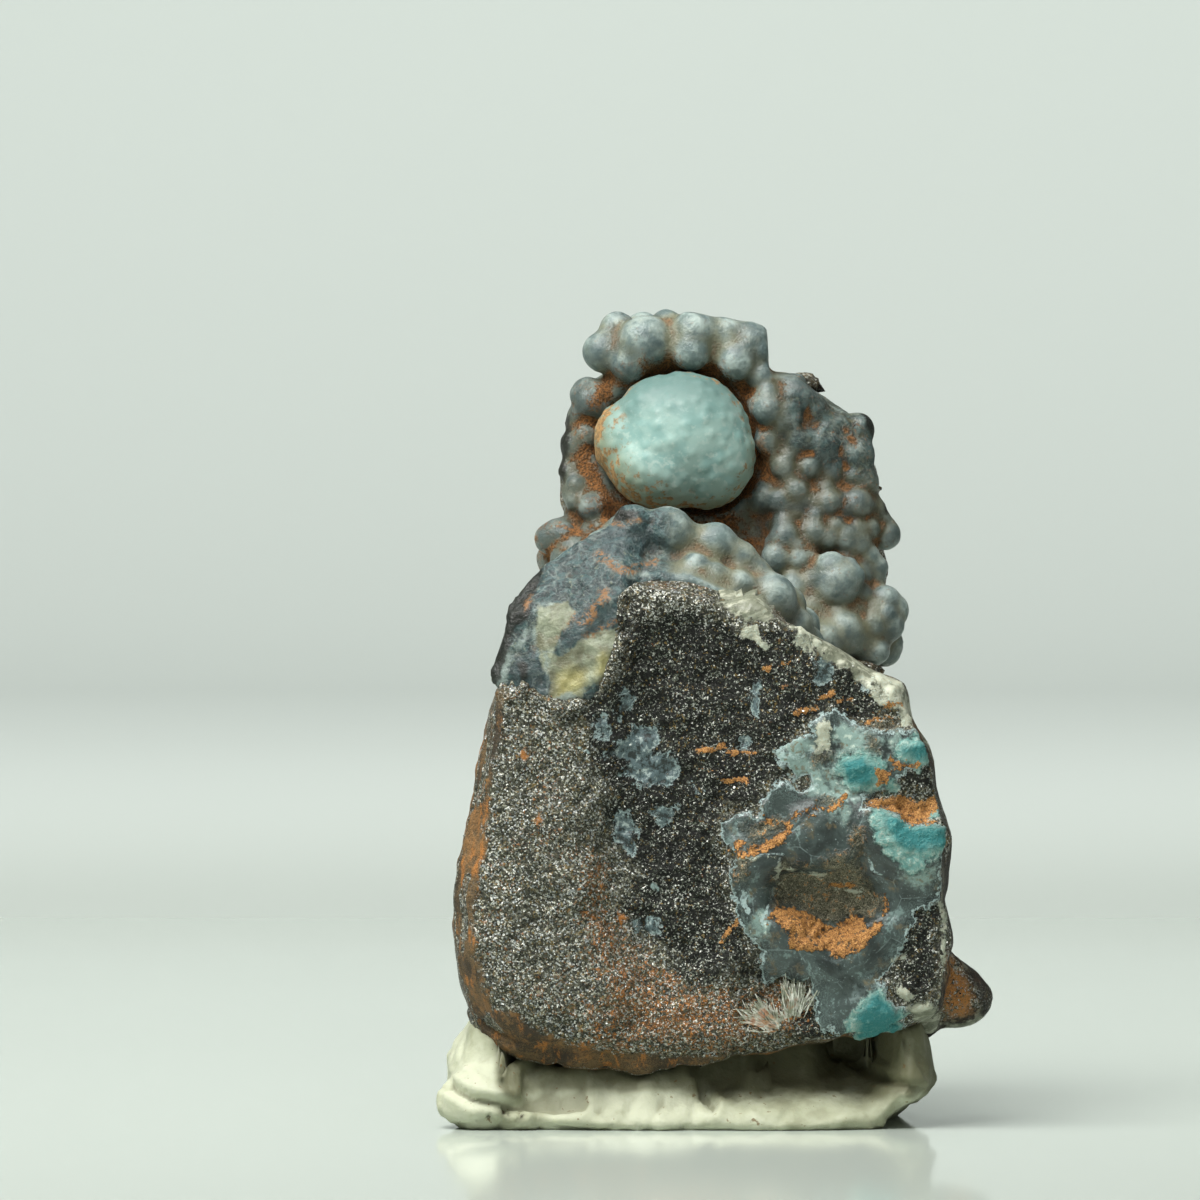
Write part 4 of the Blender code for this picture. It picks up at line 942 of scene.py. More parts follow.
    colour = f.blend(clear * (cloud * 0.6 + clump * 0.4).rise(0.27, 0.4) * 0.95, colour,
                     f.layers(paint(*look["clear"]), (flow.rise(0.47, 0.6) * 0.85, paint(*look["cream"])),
                              (flow.rise(0.6, 0.7) * 0.5, paint(*look["palest"])),
                              ((grit * 0.6 + clump * 0.4).rise(0.6, 0.66) * 0.7, paint(*look["blackMid"]))))
    colour = f.blend(on("ochre", 0.4) * (clump * 0.5 + grit * 0.5).rise(0.4, 0.52), colour,
                     f.blend(texture.rise(0.46, 0.58), paint(*look["rust"]), paint(*look["rindOchre"])))
    colour = f.blend(on("blackRim", 0.1) * 0.85, colour, paint(*look["blackDark"]))
    teal, deep = on("teal", 0.12), on("deepTeal", 0.16)
    powder = (grit * 0.5 + clump * 0.3 + fleck * 0.2)
    colour = f.blend((teal * (0.4 + clump * 1.0)).held(), colour, f.blend(powder.rise(0.44, 0.66), paint(*look["teal"]), paint(*look["palest"])))
    colour = f.blend(deep * (clump * 0.6 + cloud * 0.4).rise(0.3, 0.42), colour,
                     f.blend(powder.rise(0.5, 0.68), paint(*look["deepTeal"]), paint(*look["teal"])))
    pit = on("grit", 0.22)
    colour = f.blend(pit, colour, f.layers(paint(*look["gritDark"]), (texture.rise(0.42, 0.5), paint(*look["grit"])),
                                           (texture.rise(0.53, 0.6), paint(*look["gritLight"])),
                                           ((grit * 0.6 + clump * 0.4).rise(0.56, 0.62) * 0.8, paint(*look["clay"]))))
    cream = on("cream", 0.06)
    colour = f.blend(cream, colour, f.layers(paint(*look["clear"]), (clump.rise(0.34, 0.52), paint(*look["cream"])),
                                             (texture.rise(0.5, 0.66), paint(*look["palest"]))))
    clay = on("clay", 0.04)
    colour = f.blend(clay, colour, f.layers(paint(*look["clayDark"]), (texture.rise(0.43, 0.5), paint(*look["clay"])),
                                            (texture.rise(0.53, 0.61), paint(*look["clayLight"])),
                                            ((clump * 0.4 + grit * 0.6).rise(0.45, 0.4) * 0.85, paint(*look["gritDark"]))))
    # painted shade: the deepest hollows are darkened towards black
    colour = f.blend(hollow.rise(0.03, 0.2) * (0.8 - clay * 0.4), colour, paint(*look["blackDark"]))
    f.feed("Base Color", colour)

    bare = (1.0 - (lake | blob | rind | clear | teal | pit | cream | clay)).held()
    glassy = (lake | clear | blob) * (1.0 - (clay | pit | teal))
    f.feed("Metallic", bare * (0.2 + dark * 0.2 + glint * 0.3))
    f.feed("Roughness", f.mixed(bare, 0.66 - glassy * 0.3, 0.58 - tone * 0.2 - glint * 0.22))
    tilted = f.facets(cell, look["grainTilt"])
    level = f.node("ShaderNodeNewGeometry")["Normal"]
    start = f.node("ShaderNodeMix", {"data_type": "VECTOR"}, {0: bare * 0.5, 4: level, 5: tilted})[1]
    relief = grit * 0.45 + clump * 0.9 + fleck * 0.22 + crack.rise(0.0, 0.08) * lake * (1.0 - teal) * 0.3
    f.feed("Normal", f.bump(relief * (1.0 - glassy * 0.72), look["bumpDepth"], start))
    return f.material


# Chalcedony

crustLook = {
    "voxel": 0.125,
    "smallLumps": {"Spacing": 0.6, "Density": 4.0, "Smallest": 0.4, "Largest": 0.72, "Sink": 0.62, "Seed": 4},
    "blue": (146, 160, 155), "deep": (98, 114, 112), "haze": (108, 108, 86), "warm": (66, 63, 46),
    "dust": (140, 94, 50), "deepDust": (86, 64, 38), "brown": (62, 56, 40),
    "brokenWall": [[(3.0, 29.6), (7.2, 28.9), (7.6, 26.4), (6.9, 25.4), (5.2, 25.9), (3.2, 27.0)]],  # X, Z
    "facet": (55, 78, 79), "facetDeep": (32, 46, 48), "bubbles": 0.85,
    "cream": (142, 148, 126), "yellow": (160, 153, 98), "white": (132, 145, 139), "slate": (56, 70, 72),
    "black": (28, 28, 22), "orange": (128, 94, 60),
    "bumpDepth": 0.06,
}


def addBalls(thing, balls, steps=3):
    bm = bmesh.new()
    bm.from_mesh(thing.data)
    for x, y, z, radius in balls:
        bmesh.ops.create_icosphere(bm, subdivisions=steps, radius=radius, matrix=Matrix.Translation((x, y, z)))
    bm.to_mesh(thing.data)
    bm.free()


def alongLine(line, step, y, radius):
    # balls along a line in X and Z
    balls = []
    for (ax, az), (bx, bz) in zip(line, line[1:]):
        count = max(1, round(math.hypot(bx - ax, bz - az) / step))
        balls += [(ax + (bx - ax) * i / count, y, az + (bz - az) * i / count, radius) for i in range(count)]
    return balls


def breakOff(mesh, ends):
    # points inside a block are laid flat on the face of it that shows
    where = points(mesh)
    for centre, size, turn, axis in ends:
        turned = np.array(Euler([math.radians(a) for a in turn]).to_matrix())
        local = (where - np.array(centre)) @ turned
        inside = (np.abs(local) < np.array(size) / 2).all(1)
        local[inside, axis] = -size[axis] / 2
        where[inside] = local[inside] @ turned.T + np.array(centre)
    place(mesh, where)


def makeCrust(look, rock):
    thing = workingCopy("chalcedony", "chalcedony_crust")
    addBalls(thing, ridgeLumps + wallLumps)
    breakOff(thing.data, brokenEnds)
    fused(thing, 0.2)
    mesh = thing.data
    where, facing = points(mesh), normals(mesh)
    x, y, z = where.T
    broken = ease((-6.6 - y) / 0.8) * (z < 24.6) + ease((z - 21.2) / 1.0) * (y < -4.9) * ease((-x - 2.9) / 0.6)
    atBall = np.linalg.norm((where - np.array([-1.5, 1.5, 27.2])) / 3.3, axis=1) < 1.0
    small = (1 - np.clip(broken, 0, 1)) * np.where(facing[:, 2] > -0.5, 1, 0.4) * ~atBall
    small *= np.where((x > 2.2) & (y > 0.4), 1.0, np.where((x < -2.5) & (y > 0.2) & (z < 29.5), 0.5, 0.0))
    keep(mesh, "scatter", small * (z > 17.5) * (mapOf(x, z, look["brokenWall"], ()) < 0))
    grownFrom(thing, scatterTree("small lumps", lumpShape, True, False), look["smallLumps"])
    breakOff(thing.data, brokenEnds)
    fused(thing, look["voxel"])
    mesh = thing.data
    where = smoothed(points(mesh), edgePairs(mesh), 2, 0.5)
    x, y, z = where.T
    where[:, 0] -= 0.5 * ease((-7.2 - x) / 1.0) * ease((20.4 - z) / 2.4)
    where[:, 1] += 0.2 * ease((-7.6 - y) / 0.5) * ease((21.5 - z) / 0.8)
    place(mesh, where)
    facing = normals(mesh)
    x, y, z = where.T
    front = ease((-facing[:, 1] - 0.1) / 0.3) * ease((-4.6 - y) / 0.8) * ease((-x - 1.2) / 1.0)
    height = 0.05 * rough(where, 0.7, 3) * (0.3 + front) + 0.16 * (0.25 - cracked(where, 0.8, 4.0)) * front
    plain = ease(0.5 + mapOf(x, z, look["brokenWall"], ()) / 0.7) * ease((y + 0.5) / 1.0) * ease(-facing[:, 1] / 0.4)
    height += (0.3 * front + 0.25 * plain) * (0.35 - cracked(where, 1.9, 2.0)) - 0.12 * cracked(where, 0.7, 5.0) * plain
    place(mesh, where + facing * height[:, None])
    wobble = 0.12 * rough(where, 0.7, 3, 1.0)
    for name in sorted(set(crustMinerals) | set(crustSeams)):
        values = mapOf(x, z, crustMinerals.get(name, ()), crustSeams.get(name, ()))
        keep(mesh, name, values - (0.25 if name == "black" else 2.0) * (1 - front) + wobble)
    keep(mesh, "hollow", hollowness(mesh, 16))
    keep(mesh, "wideHollow", hollowness(mesh, 70))
    keep(mesh, "front", front)
    keep(mesh, "plain", plain)
    # rust gathers around the ball, under it and in the valley behind the ridge
    around = np.abs(np.linalg.norm((where - np.array([-1.5, 2.2, 27.0])) / np.array([3.5, 3.0, 3.2]), axis=1) - 1)
    valley = ease((25.0 - z) / 2.0) * ease((y + 4.0) / 2.0) * ease((2.6 - x) / 1.5)
    keep(mesh, "rusty", np.clip(0.9 * ease((0.34 - around) / 0.3) + 0.8 * valley, 0, 1))
    # the recessed wall behind the ridge, most at its sides: brownish dust and painted shade
    sides = np.maximum(ease((x - 1.8) / 1.0) * ease((z - 22.4) / 1.2), ease((-3.8 - x) / 1.0))
    keep(mesh, "backWallDustAndShade", ease((y + 1.0) / 2.0) * ease((30.4 - z) / 1.0) * (0.3 + 0.7 * sides))
    wear(thing, crustFinish(look))
    return thing


def crustFinish(look):
    f = Finish("chalcedony", **{
        "Specular IOR Level": 0.35, "Subsurface Weight": 0.3, "Subsurface Radius": (0.0009, 0.0009, 0.0008),
        "Subsurface Scale": 1.0,
    })
    broad, cloud, clump, fine = f.noise(3.0, 3), f.noise(0.9, 4), f.noise(0.34, 4, 0.6), f.noise(0.1, 3, 0.6)
    hollow, wide, rusty = f.read("hollow"), f.read("wideHollow"), f.read("rusty")
    front, backWallDustAndShade = f.read("front"), f.read("backWallDustAndShade")
    edge = (f.noise(0.3, 3) - 0.5) * 0.35

    def on(name, soft=0.06):
        return (f.read(name) + edge).rise(-soft, soft)

    # bluish where it bulges; in the creases a hazy olive, darker than the domes, which is partly the stone's haze and
    # partly painted shade
    colour = f.layers(paint(*look["deep"]), ((cloud * 0.6 + clump * 0.4).rise(0.42, 0.6), paint(*look["blue"])),
                      ((hollow * 1.4 + (clump - 0.5) * 0.12).rise(-0.09, 0.05) * 0.9, paint(*look["haze"])),
                      (broad.rise(0.5, 0.66) * 0.5, paint(*look["haze"])))
    # painted shade mixed with a brownish haze: wide hollows and the recessed wall are darkened towards warm
    veil = (wide * 2.0 + hollow * 2.5 + backWallDustAndShade * 0.3 + (cloud - 0.5) * 0.9 + (clump - 0.5) * 0.6).rise(-0.05, 0.5)
    colour = f.blend(veil * (0.25 + backWallDustAndShade * 0.65), colour, paint(*look["warm"]))
    colour = f.blend(backWallDustAndShade * 0.42, colour, paint(*look["warm"]))
    mottle = f.noise(0.4, 4, 0.6, warp=0.8)
    warped = f.node("ShaderNodeVectorMath", {"operation": "MULTIPLY_ADD"}, {
        0: f.node("ShaderNodeTexNoise", None, {"Vector": f.mm, "Scale": 1.6, "Detail": 2.0})["Color"],
        1: (0.9, 0.9, 0.9), 2: f.mm})[0]
    bubble = f.cells(look["bubbles"], "DISTANCE_TO_EDGE", warped)["Distance"]
    ripple = f.cells(look["bubbles"] * 0.4, "DISTANCE_TO_EDGE", warped)["Distance"]
    colour = f.blend(f.noise(1.5, 2).rise(0.5, 0.36) * 0.5, colour, paint(*look["slate"]))
    facet = f.layers(paint(*look["facet"]), (mottle.rise(0.4, 0.56), paint(*look["facetDeep"])),
                     (mottle.rise(0.58, 0.7) * 0.3, paint(*look["white"])),
                     (bubble.rise(0.1, 0.0) * cloud.rise(0.42, 0.6) * 0.4, paint(*look["white"])),
                     (ripple.rise(0.06, 0.0) * cloud.rise(0.56, 0.44) * 0.3, paint(*look["white"])),
                     (clump.rise(0.6, 0.68) * 0.35, paint(*look["cream"])))
    colour = f.blend((front * 0.95 + f.read("plain") * clump.rise(0.36, 0.5) * 0.7).held(), colour, facet)
    dust = (hollow * 1.0 + (cloud - 0.5) * 0.2 + (fine - 0.5) * 0.12 + rusty * 0.07 - 0.02).rise(0.0, 0.06)
    speckle = (f.noise(0.24, 5, 0.7) + rusty * 0.14 + backWallDustAndShade * 0.02).rise(0.58, 0.66) * cloud.rise(0.4, 0.6)
    colour = f.blend(hollow.rise(0.05, 0.22) * 0.55, colour, paint(*look["brown"]))
    dusty = (dust * (0.55 + rusty * 0.6 + backWallDustAndShade * 0.4) + speckle * (0.25 + rusty * 0.5 + backWallDustAndShade * 0.2)) * (1.0 - front * 0.7)
    dustColour = f.layers(paint(*look["dust"]), (fine.rise(0.42, 0.6), paint(*look["deepDust"])),
                          ((hollow + wide * 0.5).rise(0.08, 0.3), paint(*look["brown"])))
    colour = f.blend(dusty.held(), colour, dustColour)
    colour = f.layers(colour, (on("slate", 0.12) * 0.5, paint(*look["slate"])),
                      (on("creamFacet", 0.08) * (0.55 + clump * 0.7), f.blend(cloud.rise(0.4, 0.62), paint(*look["cream"]), paint(*look["haze"]))),
                      (on("yellow", 0.3) * 0.75, paint(*look["yellow"])),
                      (on("white", 0.1) * clump.rise(0.3, 0.5) * 0.85, paint(*look["white"])),
                      (on("black", 0.1) * 0.9, paint(*look["black"])),
                      (on("orange", 0.12) * (fine * 0.5 + clump * 0.5).rise(0.44, 0.56), paint(*look["orange"])))
    f.feed("Base Color", colour)
    f.feed("Roughness", f.mixed(dusty.held(), 0.36 + front * 0.1 + (clump - 0.5) * 0.4, 0.85))
    f.feed("Normal", f.bump(fine * (0.5 + dusty) + clump * (0.8 + front * 1.2), look["bumpDepth"]))
    return f.material


# Shattuckite ball

ballLook = {
    "lobes": [  # centre and the radii along each axis
        ((-1.05, 1.55, 27.3), (2.72, 2.45, 2.72)),
        ((-3.1, 1.75, 27.2), (1.6, 1.6, 1.75)),
        ((-1.8, 1.35, 26.3), (2.35, 2.1, 1.85)),
        ((-0.2, 1.5, 26.7), (2.05, 2.1, 2.25)),
        ((-1.9, 1.5, 28.2), (1.85, 1.8, 1.7)),
    ],
    "voxel": 0.075,
    "bumps": {"Spacing": 0.46, "Density": 6.0, "Smallest": 0.36, "Largest": 0.62, "Sink": 0.87, "Seed": 7},
    "aqua": (149, 177, 169), "deep": (130, 164, 158), "pale": (164, 186, 178), "warm": (118, 124, 94),
    "dust": (158, 120, 74), "deepDust": (116, 90, 56),
    "top": (84, 112, 107), "bumpDepth": 0.02,
}


def makeBall(look):
    thing = linked("blue_ball", bpy.data.meshes.new("blue ball"))
    bm = bmesh.new()
    for centre, radii in look["lobes"]:
        shape = Matrix.Translation(centre) @ Matrix.Diagonal((*radii, 1.0))
        bmesh.ops.create_icosphere(bm, subdivisions=5, radius=1.0, matrix=shape)
    bm.to_mesh(thing.data)
    bm.free()
    fused(thing, 0.12)
    mesh = thing.data
    place(mesh, smoothed(points(mesh), edgePairs(mesh), 5, 0.5))
    keep(mesh, "scatter", np.ones(len(mesh.vertices)))
    grownFrom(thing, scatterTree("ball bumps", lumpShape, True, False), look["bumps"])
    fused(thing, look["voxel"])
    mesh = thing.data
    where = smoothed(points(mesh), edgePairs(mesh), 5, 0.5)
    place(mesh, where)
    keep(mesh, "hollow", hollowness(mesh, 14))
    x, y, z = where.T
    low = ease((26.9 - z + 0.5 * (-x - 2.0)) / 2.6)
    left = ease((-2.2 - x) / 2.2)
    rim = ease((np.hypot((x + 1.5) / 3.1, (z - 27.2) / 2.9) - 0.82) / 0.25)
    keep(mesh, "stain", np.clip(0.7 * low + 0.45 * left + rim * (0.5 + 0.25 * left), 0, 1.4))
    wear(thing, ballFinish(look))
    return thing


def ballFinish(look):
    f = Finish("shattuckite", **{
        "Specular IOR Level": 0.35, "Subsurface Weight": 0.25, "Subsurface Radius": (0.0006, 0.0009, 0.0009),
        "Subsurface Scale": 1.0,
    })
    cloud, fine, spots = f.noise(0.9, 3), f.noise(0.14, 3), f.noise(0.42, 5, 0.65)
    hollow, stain = f.read("hollow"), f.read("stain")
    colour = f.layers(paint(*look["aqua"]), (cloud.rise(0.4, 0.62), paint(*look["deep"])),
                      (f.noise(0.32, 3).rise(0.52, 0.66) * 0.8, paint(*look["pale"])), (stain.rise(0.1, 0.9) * 0.75, paint(*look["warm"])))
    # painted shade: the top of the ball is darkened against the light that falls on it from above
    top = f.node("ShaderNodeSeparateXYZ", None, {0: f.mm})["Z"].rise(27.2, 29.8)
    colour = f.blend(top * 0.95, colour, paint(*look["top"]))
    dusty = (hollow * 3.0 + stain * 0.19 + (spots - 0.5) * 1.0).rise(0.09, 0.2) * stain.rise(0.08, 0.45)
    colour = f.blend(dusty * 0.9, colour, f.blend(fine.rise(0.4, 0.65), paint(*look["dust"]), paint(*look["deepDust"])))
    f.feed("Base Color", colour)
    f.feed("Roughness", 0.52 + dusty * 0.35 + (fine - 0.5) * 0.2)
    f.feed("Normal", f.bump(fine * 0.6 + cloud, look["bumpDepth"]))
    return f.material


# Putty

puttyLook = {
    "voxel": 0.17,
    "pads": [  # pressed up under the rock: a line in X and Z, Y and radius
        ([(2.0, 2.1), (4.0, 2.7), (5.5, 3.0), (7.2, 3.2)], -5.9, 0.95), ([(5.2, 2.7), (7.0, 2.9)], -4.4, 0.95),
        ([(5.0, 2.5), (6.9, 2.8)], -2.8, 0.95), ([(5.0, 2.4), (6.8, 2.6)], -1.2, 0.95),
        ([(5.0, 2.4), (6.6, 2.5)], 0.4, 0.95), ([(5.0, 2.3), (6.4, 2.4)], 2.0, 0.9),
    ],
    "reach": 1.4,  # the putty is pressed up against the rock where it is this near
    "recess": 3.5,  # how far the front leans back under the rock
    "creases": [
        ([(-10.9, 2.0), (-9.6, 1.25), (-7.6, 0.95), (-5.2, 1.0)], 0.2, 0.34),
        ([(-7.4, 1.4), (-5.4, 1.75), (-3.2, 2.0), (-1.2, 2.2)], 0.18, 0.26),
        ([(-1.4, 2.1), (-0.7, 1.6), (0.1, 0.9)], 0.18, 0.3),
        ([(5.0, 2.9), (6.4, 2.1), (8.4, 1.6)], 0.18, 0.26),
    ],
    "pits": [(-8.2, 0.75, 0.35), (-7.6, 0.6, 0.18), (-8.9, 0.55, 0.15)],
    # two of these colours are painted shade: one darkens the creases and some blotches, the other the putty under the
    # rock
    "pale": (186, 190, 166), "shade": (162, 166, 140), "crease": (112, 111, 84), "worn": (98, 98, 72),
    "brown": (110, 88, 54), "dark": (60, 54, 38),
    "bumpDepth": 0.05,
}


def makePutty(look, rock):
    thing = workingCopy("display_putty", "kneaded_putty")
    for line, y, radius in look["pads"]:
        addBalls(thing, alongLine(line, 0.5, y, radius), 2)
    fused(thing, look["voxel"])
    mesh = thing.data
    where = smoothed(points(mesh), edgePairs(mesh), 3, 0.5)
    where[:, 2] = np.maximum(where[:, 2], 0.0)
    x, y, z = where.T
    under = ease((x + 8.6) / 2.0) * ease((8.2 - x) / 2.5) * ease((z - 0.1) / 2.5) * ease((-y - 3.5) / 3.0)
    where[:, 1] += look["recess"] * under
    where[:, 0] -= 1.0 * ease((x - 6.2) / 2.4) * ease((1.9 - z) / 1.6)
    place(mesh, where)
    facing = normals(mesh)
    raised = where.copy()
    above = BVHTree.FromObject(rock, bpy.context.evaluated_depsgraph_get())
    for i in np.flatnonzero(facing[:, 2] > 0.45):
        spot = above.ray_cast(Vector(where[i]), Vector((0, 0, 1)), look["reach"])[0]
        if spot:
            raised[i, 2] = spot.z + 0.1
    lifted = raised[:, 2] > where[:, 2]
    soft = smoothed(raised, edgePairs(mesh), 12, 0.6)
    near = np.clip(smoothed(np.repeat(lifted[:, None], 3, 1).astype(float), edgePairs(mesh), 8)[:, :1] * 2, 0, 1)
    raised += near * (soft - raised)
    x, y, z = where.T
    front = ease((-facing[:, 1]) / 0.4) * (y < -4)
    height = 0.15 * rough(where, 1.7, 4) + 0.03 * rough(where, 0.5, 2) - 0.10 * ease((0.12 - cracked(where, 2.6, 1.0)) / 0.12)
    for line, half, depth in look["creases"]:
        away = lineDistance(x, z, line)
        height = height - front * depth * np.exp(-(away / half) ** 2) + front * 0.4 * depth * np.exp(-((away - 2 * half) / half) ** 2)
    pit = np.zeros(len(where))
    for px, pz, radius in look["pits"]:
        pit = np.maximum(pit, ease((radius - np.hypot(x - px, z - pz)) / radius) * front)
    where = raised + facing * (height - 0.3 * pit)[:, None]
    foot = z < 0.02
    where[:, 2] = np.where(foot, 0.0, np.maximum(where[:, 2], 0.0))
    place(mesh, where)
    keep(mesh, "hollow", hollowness(mesh, 10))
    keep(mesh, "pit", pit)
    wear(thing, puttyFinish(look))
    return thing


def puttyFinish(look):
    f = Finish("putty", **{"Specular IOR Level": 0.35, "Subsurface Weight": 0.15,
                           "Subsurface Radius": (0.001, 0.001, 0.0007), "Subsurface Scale": 1.0})
    cloud, fine, specks = f.noise(3.0, 3), f.noise(0.16, 4), f.noise(0.3, 3)
    across = f.node("ShaderNodeSeparateXYZ", None, {0: f.mm})
    # painted shadow: the upper putty, right of its left lobe, is darkened where the rock's overhang shades it
    worn = across["X"].rise(-9.0, -7.9) * (across["Z"] + (cloud - 0.5) * 1.4).rise(1.0, 2.2)
    colour = f.layers(paint(*look["pale"]), (cloud.rise(0.4, 0.65), paint(*look["shade"])),
                      # painted shade in the creases
                      (f.read("hollow").rise(0.03, 0.14) * 0.5, paint(*look["crease"])),
                      # random darker blotches, more of them in the painted shadow under the rock
                      ((cloud * 0.4 + f.noise(0.8, 4) * 0.6 + worn * 0.14).rise(0.5, 0.64) * (0.3 + worn * 0.4), paint(*look["crease"])),
                      # painted shadow under the rock's overhang
                      (worn.rise(0.05, 0.5) * 0.75, paint(*look["worn"])),
                      (specks.rise(0.66, 0.72) * 0.8, paint(*look["brown"])),
                      (f.read("pit").rise(0.2, 0.8) * fine.rise(0.35, 0.6), paint(*look["dark"])))
    f.feed("Base Color", colour)
    f.feed("Roughness", 0.62 + (fine - 0.5) * 0.25)
    f.feed("Normal", f.bump(fine * 0.5 + f.noise(0.7, 4) * 1.2, look["bumpDepth"]))
    return f.material


# Small things on the front face

flakeLook = {
    "flakes": {"Spacing": 0.19, "Density": 18.0, "Smallest": 0.02, "Largest": 0.055, "Sink": -0.2, "Seed": 3},
    "steel": (168, 171, 164), "dark": (44, 45, 40),
}


def makeFlakes(look, rock):
    thing = linked("hematite_flakes", rock.data.copy())
    tree = scatterTree("hematite flakes", plateShape, False, True)
    f = Finish("hematite flakes", **{"Metallic": 0.85, "Specular IOR Level": 0.6})
    shade = f.part(f.cells(0.3)["Color"])
    f.feed("Base Color", f.blend(shade, paint(*look["dark"]), paint(*look["steel"])))
    f.feed("Roughness", 0.2 + shade * 0.2)
    return grownFrom(thing, tree, look["flakes"], f.material)


sprayLook = {
    "blades": 380, "seed": 11,
    "fans": [  # foot in X and Z, direction and spread in degrees from upright, shortest and longest, share
        ((2.5, 4.2), -48, 26, 0.5, 1.3, 0.45),
        ((3.35, 4.7), 4, 16, 0.7, 1.5, 0.3),
        ((2.0, 4.5), -75, 18, 0.3, 0.9, 0.25),
    ],
    "silver": (238, 238, 228), "green": (158, 162, 142), "tan": (186, 132, 92),
}


def makeSpray(look, rock):
    # blades that fan out of the pit at the lower middle
    tree = BVHTree.FromObject(rock, bpy.context.evaluated_depsgraph_get())
    picked = np.random.default_rng(look["seed"])
    feet, heads, sizes = [], [], []
    for foot, lean, spread, shortest, longest, share in look["fans"]:
        for _ in range(int(look["blades"] * share)):
            x = foot[0] + picked.normal(0, 0.28)
            z = foot[1] + picked.normal(0, 0.16)
            hit = tree.ray_cast(Vector((x, -40, z)), Vector((0, 1, 0)))[0]
            if hit is None:
                continue
            angle = math.radians(lean + picked.normal(0, spread))
            out = math.radians(picked.uniform(4, 34))
            heads.append((math.sin(angle) * math.cos(out), -math.sin(out), math.cos(angle) * math.cos(out)))
            feet.append((hit.x, hit.y + 0.1, hit.z))
            sizes.append((picked.uniform(0.025, 0.07), picked.uniform(0.015, 0.035), picked.uniform(shortest, longest)))
    mesh = bpy.data.meshes.new("spray feet")
    mesh.from_pydata(feet, [], [])
    for name, values in (("head", heads), ("size", sizes)):
        mesh.attributes.new(name, "FLOAT_VECTOR", "POINT").data.foreach_set("vector", np.array(values).ravel())
    thing = linked("crystal_spray", mesh)
    tree = GeometryTree("crystal spray", {})
    vector = {"data_type": "FLOAT_VECTOR"}
    head = tree.node("GeometryNodeInputNamedAttribute", vector, {"Name": "head"})["Attribute"]
    size = tree.node("GeometryNodeInputNamedAttribute", vector, {"Name": "size"})["Attribute"]
    turn = tree.node("FunctionNodeAlignRotationToVector", {"axis": "Z"}, {"Vector": head})["Rotation"]
    blade = tree.node("GeometryNodeMeshCone", {"fill_type": "NGON"}, {
        "Vertices": 5, "Radius Top": 0.35, "Radius Bottom": 1.0, "Depth": 1.0,
    })["Mesh"]
    copies = tree.node("GeometryNodeInstanceOnPoints", None, {
        "Points": tree.source["Mesh"], "Instance": blade, "Rotation": turn, "Scale": size,
    })["Instances"]
    f = Finish("crystal spray", **{"Roughness": 0.22, "Specular IOR Level": 0.8, "Metallic": 0.15})
    shade = f.noise(0.5, 3)
    f.feed("Base Color", f.layers(paint(*look["green"]), (shade.rise(0.42, 0.6), paint(*look["silver"])),
                                  (f.noise(0.8, 2).rise(0.55, 0.65) * 0.8, paint(*look["tan"]))))
    return grownFrom(thing, tree.close(copies), {}, f.material)


# Pieces

cadBall, cadCrust = workingCopy("shattuckite_ball", "ball seat"), workingCopy("chalcedony", "crust seat")
cadPutty = workingCopy("display_putty", "putty seat")
rock = makeRock(rockLook, [cadCrust, cadPutty])
report("rock shaped")
crust = makeCrust(crustLook, rock)
report("chalcedony shaped")
ball = makeBall(ballLook)
putty = makePutty(puttyLook, rock)
report("ball and putty shaped")
flakes = makeFlakes(flakeLook, rock)
spray = makeSpray(sprayLook, rock)
for seat in (cadBall, cadCrust, cadPutty):
    bpy.data.objects.remove(seat)

finishPiece(rock, "matrix")
finishPiece(crust, "chalcedony")
finishPiece(ball, "shattuckite_ball")
finishPiece(putty, "display_putty")
finishPiece(flakes, None, 30)
finishPiece(spray, None, 30)


# Floor, light and camera

stageLook = {
    "colour": (204, 212, 206), "floorColour": (186, 195, 187),
    "sky": (0.80, 0.84, 0.80), "skyStrength": 0.13,
    # name, place and size in mm, aim in mm, power in watts, colour
    "lamps": [
        ("key softbox", (-75, -85, 200), (150, 130), (0, -2, 15), 0.95, (1.0, 0.995, 0.97)),
        ("top softbox", (10, 20, 220), (170, 130), (0, 0, 15), 0.16, (1.0, 0.995, 0.97)),
        ("front fill", (60, -380, 230), (130, 130), (0, -8, 15), 0.19, (1.0, 0.995, 0.98)),
        ("backdrop light", (0, 150, 230), (420, 160), (0, 390, 112), 0.74, (0.985, 1.0, 0.99)),
    ],
}


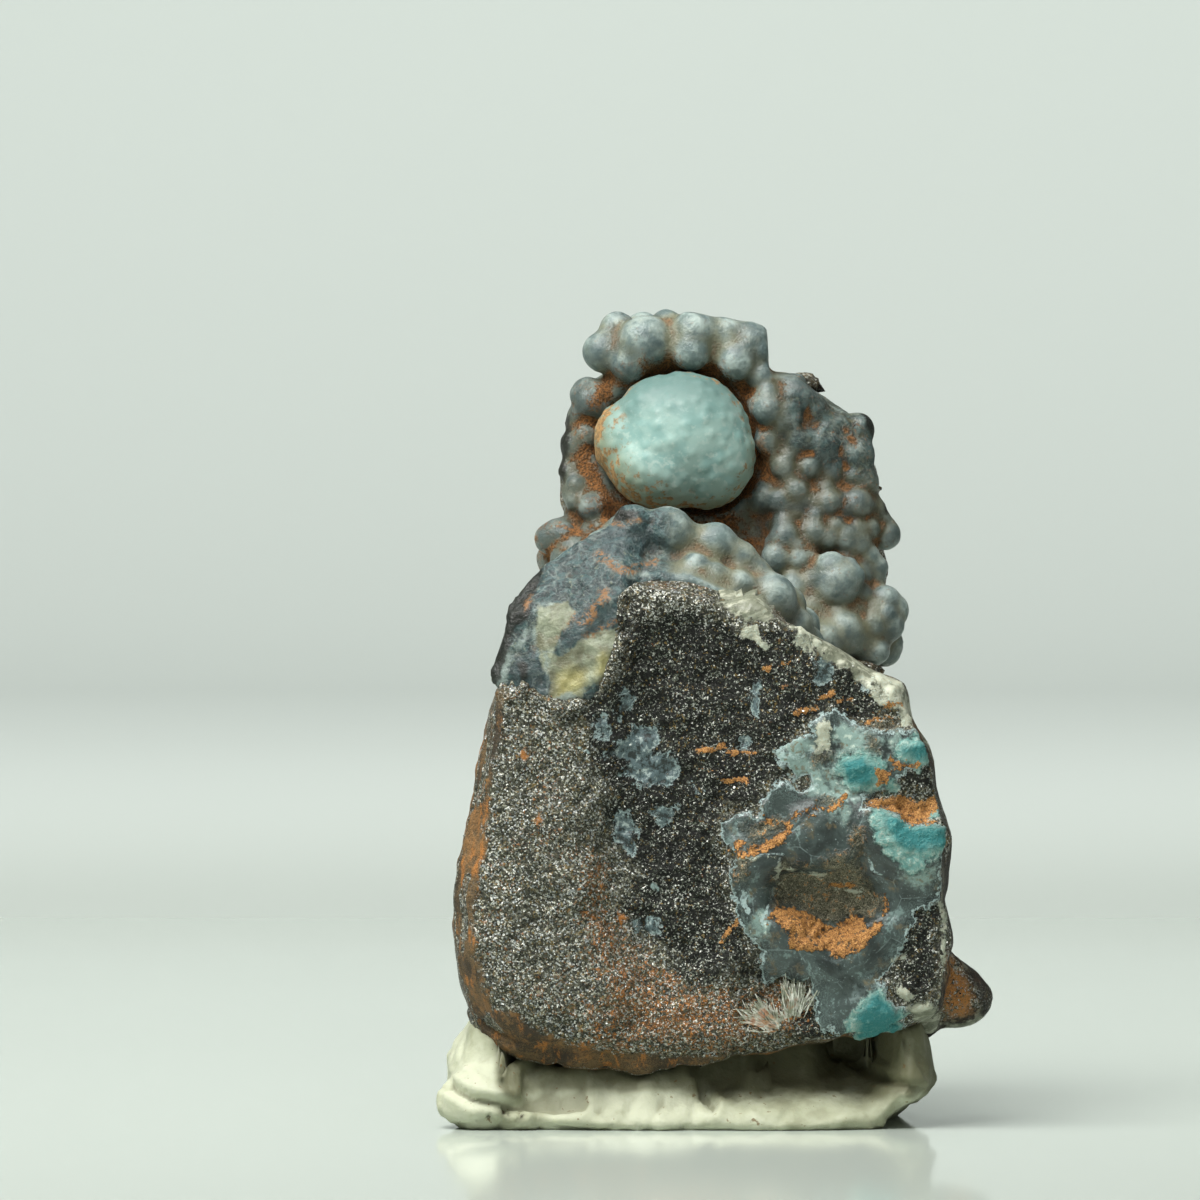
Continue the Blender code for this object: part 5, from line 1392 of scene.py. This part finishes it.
def makeStage(look):
    # a wide floor, and far behind the piece a low wall that it curves up into
    profile = [(-900.0, 0.0), (300.0, 0.0)]
    for step in range(1, 10):
        angle = math.radians(step * 7.5)
        profile.append((300 + 90 * math.sin(angle), 90 * (1 - math.cos(angle))))
    spots = [(side * 0.8, y / 1000, z / 1000) for y, z in profile for side in (-1, 1)]
    faces = [(2 * i, 2 * i + 1, 2 * i + 3, 2 * i + 2) for i in range(len(profile) - 1)]
    mesh = bpy.data.meshes.new("floor and backdrop")
    mesh.from_pydata(spots, [], faces)
    mesh.shade_smooth()
    f = Finish("floor and backdrop", **{"Specular IOR Level": 0.5})
    far = f.node("ShaderNodeSeparateXYZ", None, {0: f.mm})["Y"].rise(60, 240)
    f.feed("Base Color", f.blend(far, paint(*look["floorColour"]), paint(*look["colour"])))
    f.feed("Roughness", 0.12 + far * 0.7)
    mesh.materials.append(f.material)
    floor = linked("floor_and_backdrop", mesh)
    for name, spot, size, aim, power, colour in look["lamps"]:
        lamp = bpy.data.lights.new(name, "AREA")
        lamp.shape = "RECTANGLE"
        lamp.size, lamp.size_y = size[0] / 1000, size[1] / 1000
        lamp.energy = power
        lamp.color = colour
        placed = bpy.data.objects.new(name, lamp)
        placed.location = Vector(spot) / 1000
        placed.rotation_euler = (Vector(aim) - Vector(spot)).to_track_quat("-Z", "Y").to_euler()
        bpy.context.scene.collection.objects.link(placed)
    world = bpy.data.worlds.new("sky")
    world.use_nodes = True
    sky = next(n for n in world.node_tree.nodes if n.type == "BACKGROUND")
    sky.inputs["Color"].default_value = (*look["sky"], 1.0)
    sky.inputs["Strength"].default_value = look["skyStrength"]
    bpy.context.scene.world = world
    bpy.context.scene.view_settings.view_transform = "Standard"


def makeCamera():
    # level with the middle of the piece and 3 degrees above it, 75 cm away
    aim, pitch = Vector((-4.44, -8.5, 21.3)) / 1000, math.radians(3)
    lens = bpy.data.cameras.new("camera")
    lens.lens, lens.sensor_width = 562.5, 36.0
    lens.clip_start, lens.clip_end = 0.05, 5.0
    camera = bpy.data.objects.new("camera", lens)
    camera.location = aim + 0.75 * Vector((0, -math.cos(pitch), math.sin(pitch)))
    camera.rotation_euler = (math.radians(90) - pitch, 0, 0)
    bpy.context.scene.collection.objects.link(camera)
    bpy.context.scene.camera = camera


makeStage(stageLook)
makeCamera()

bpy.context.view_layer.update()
report("done")
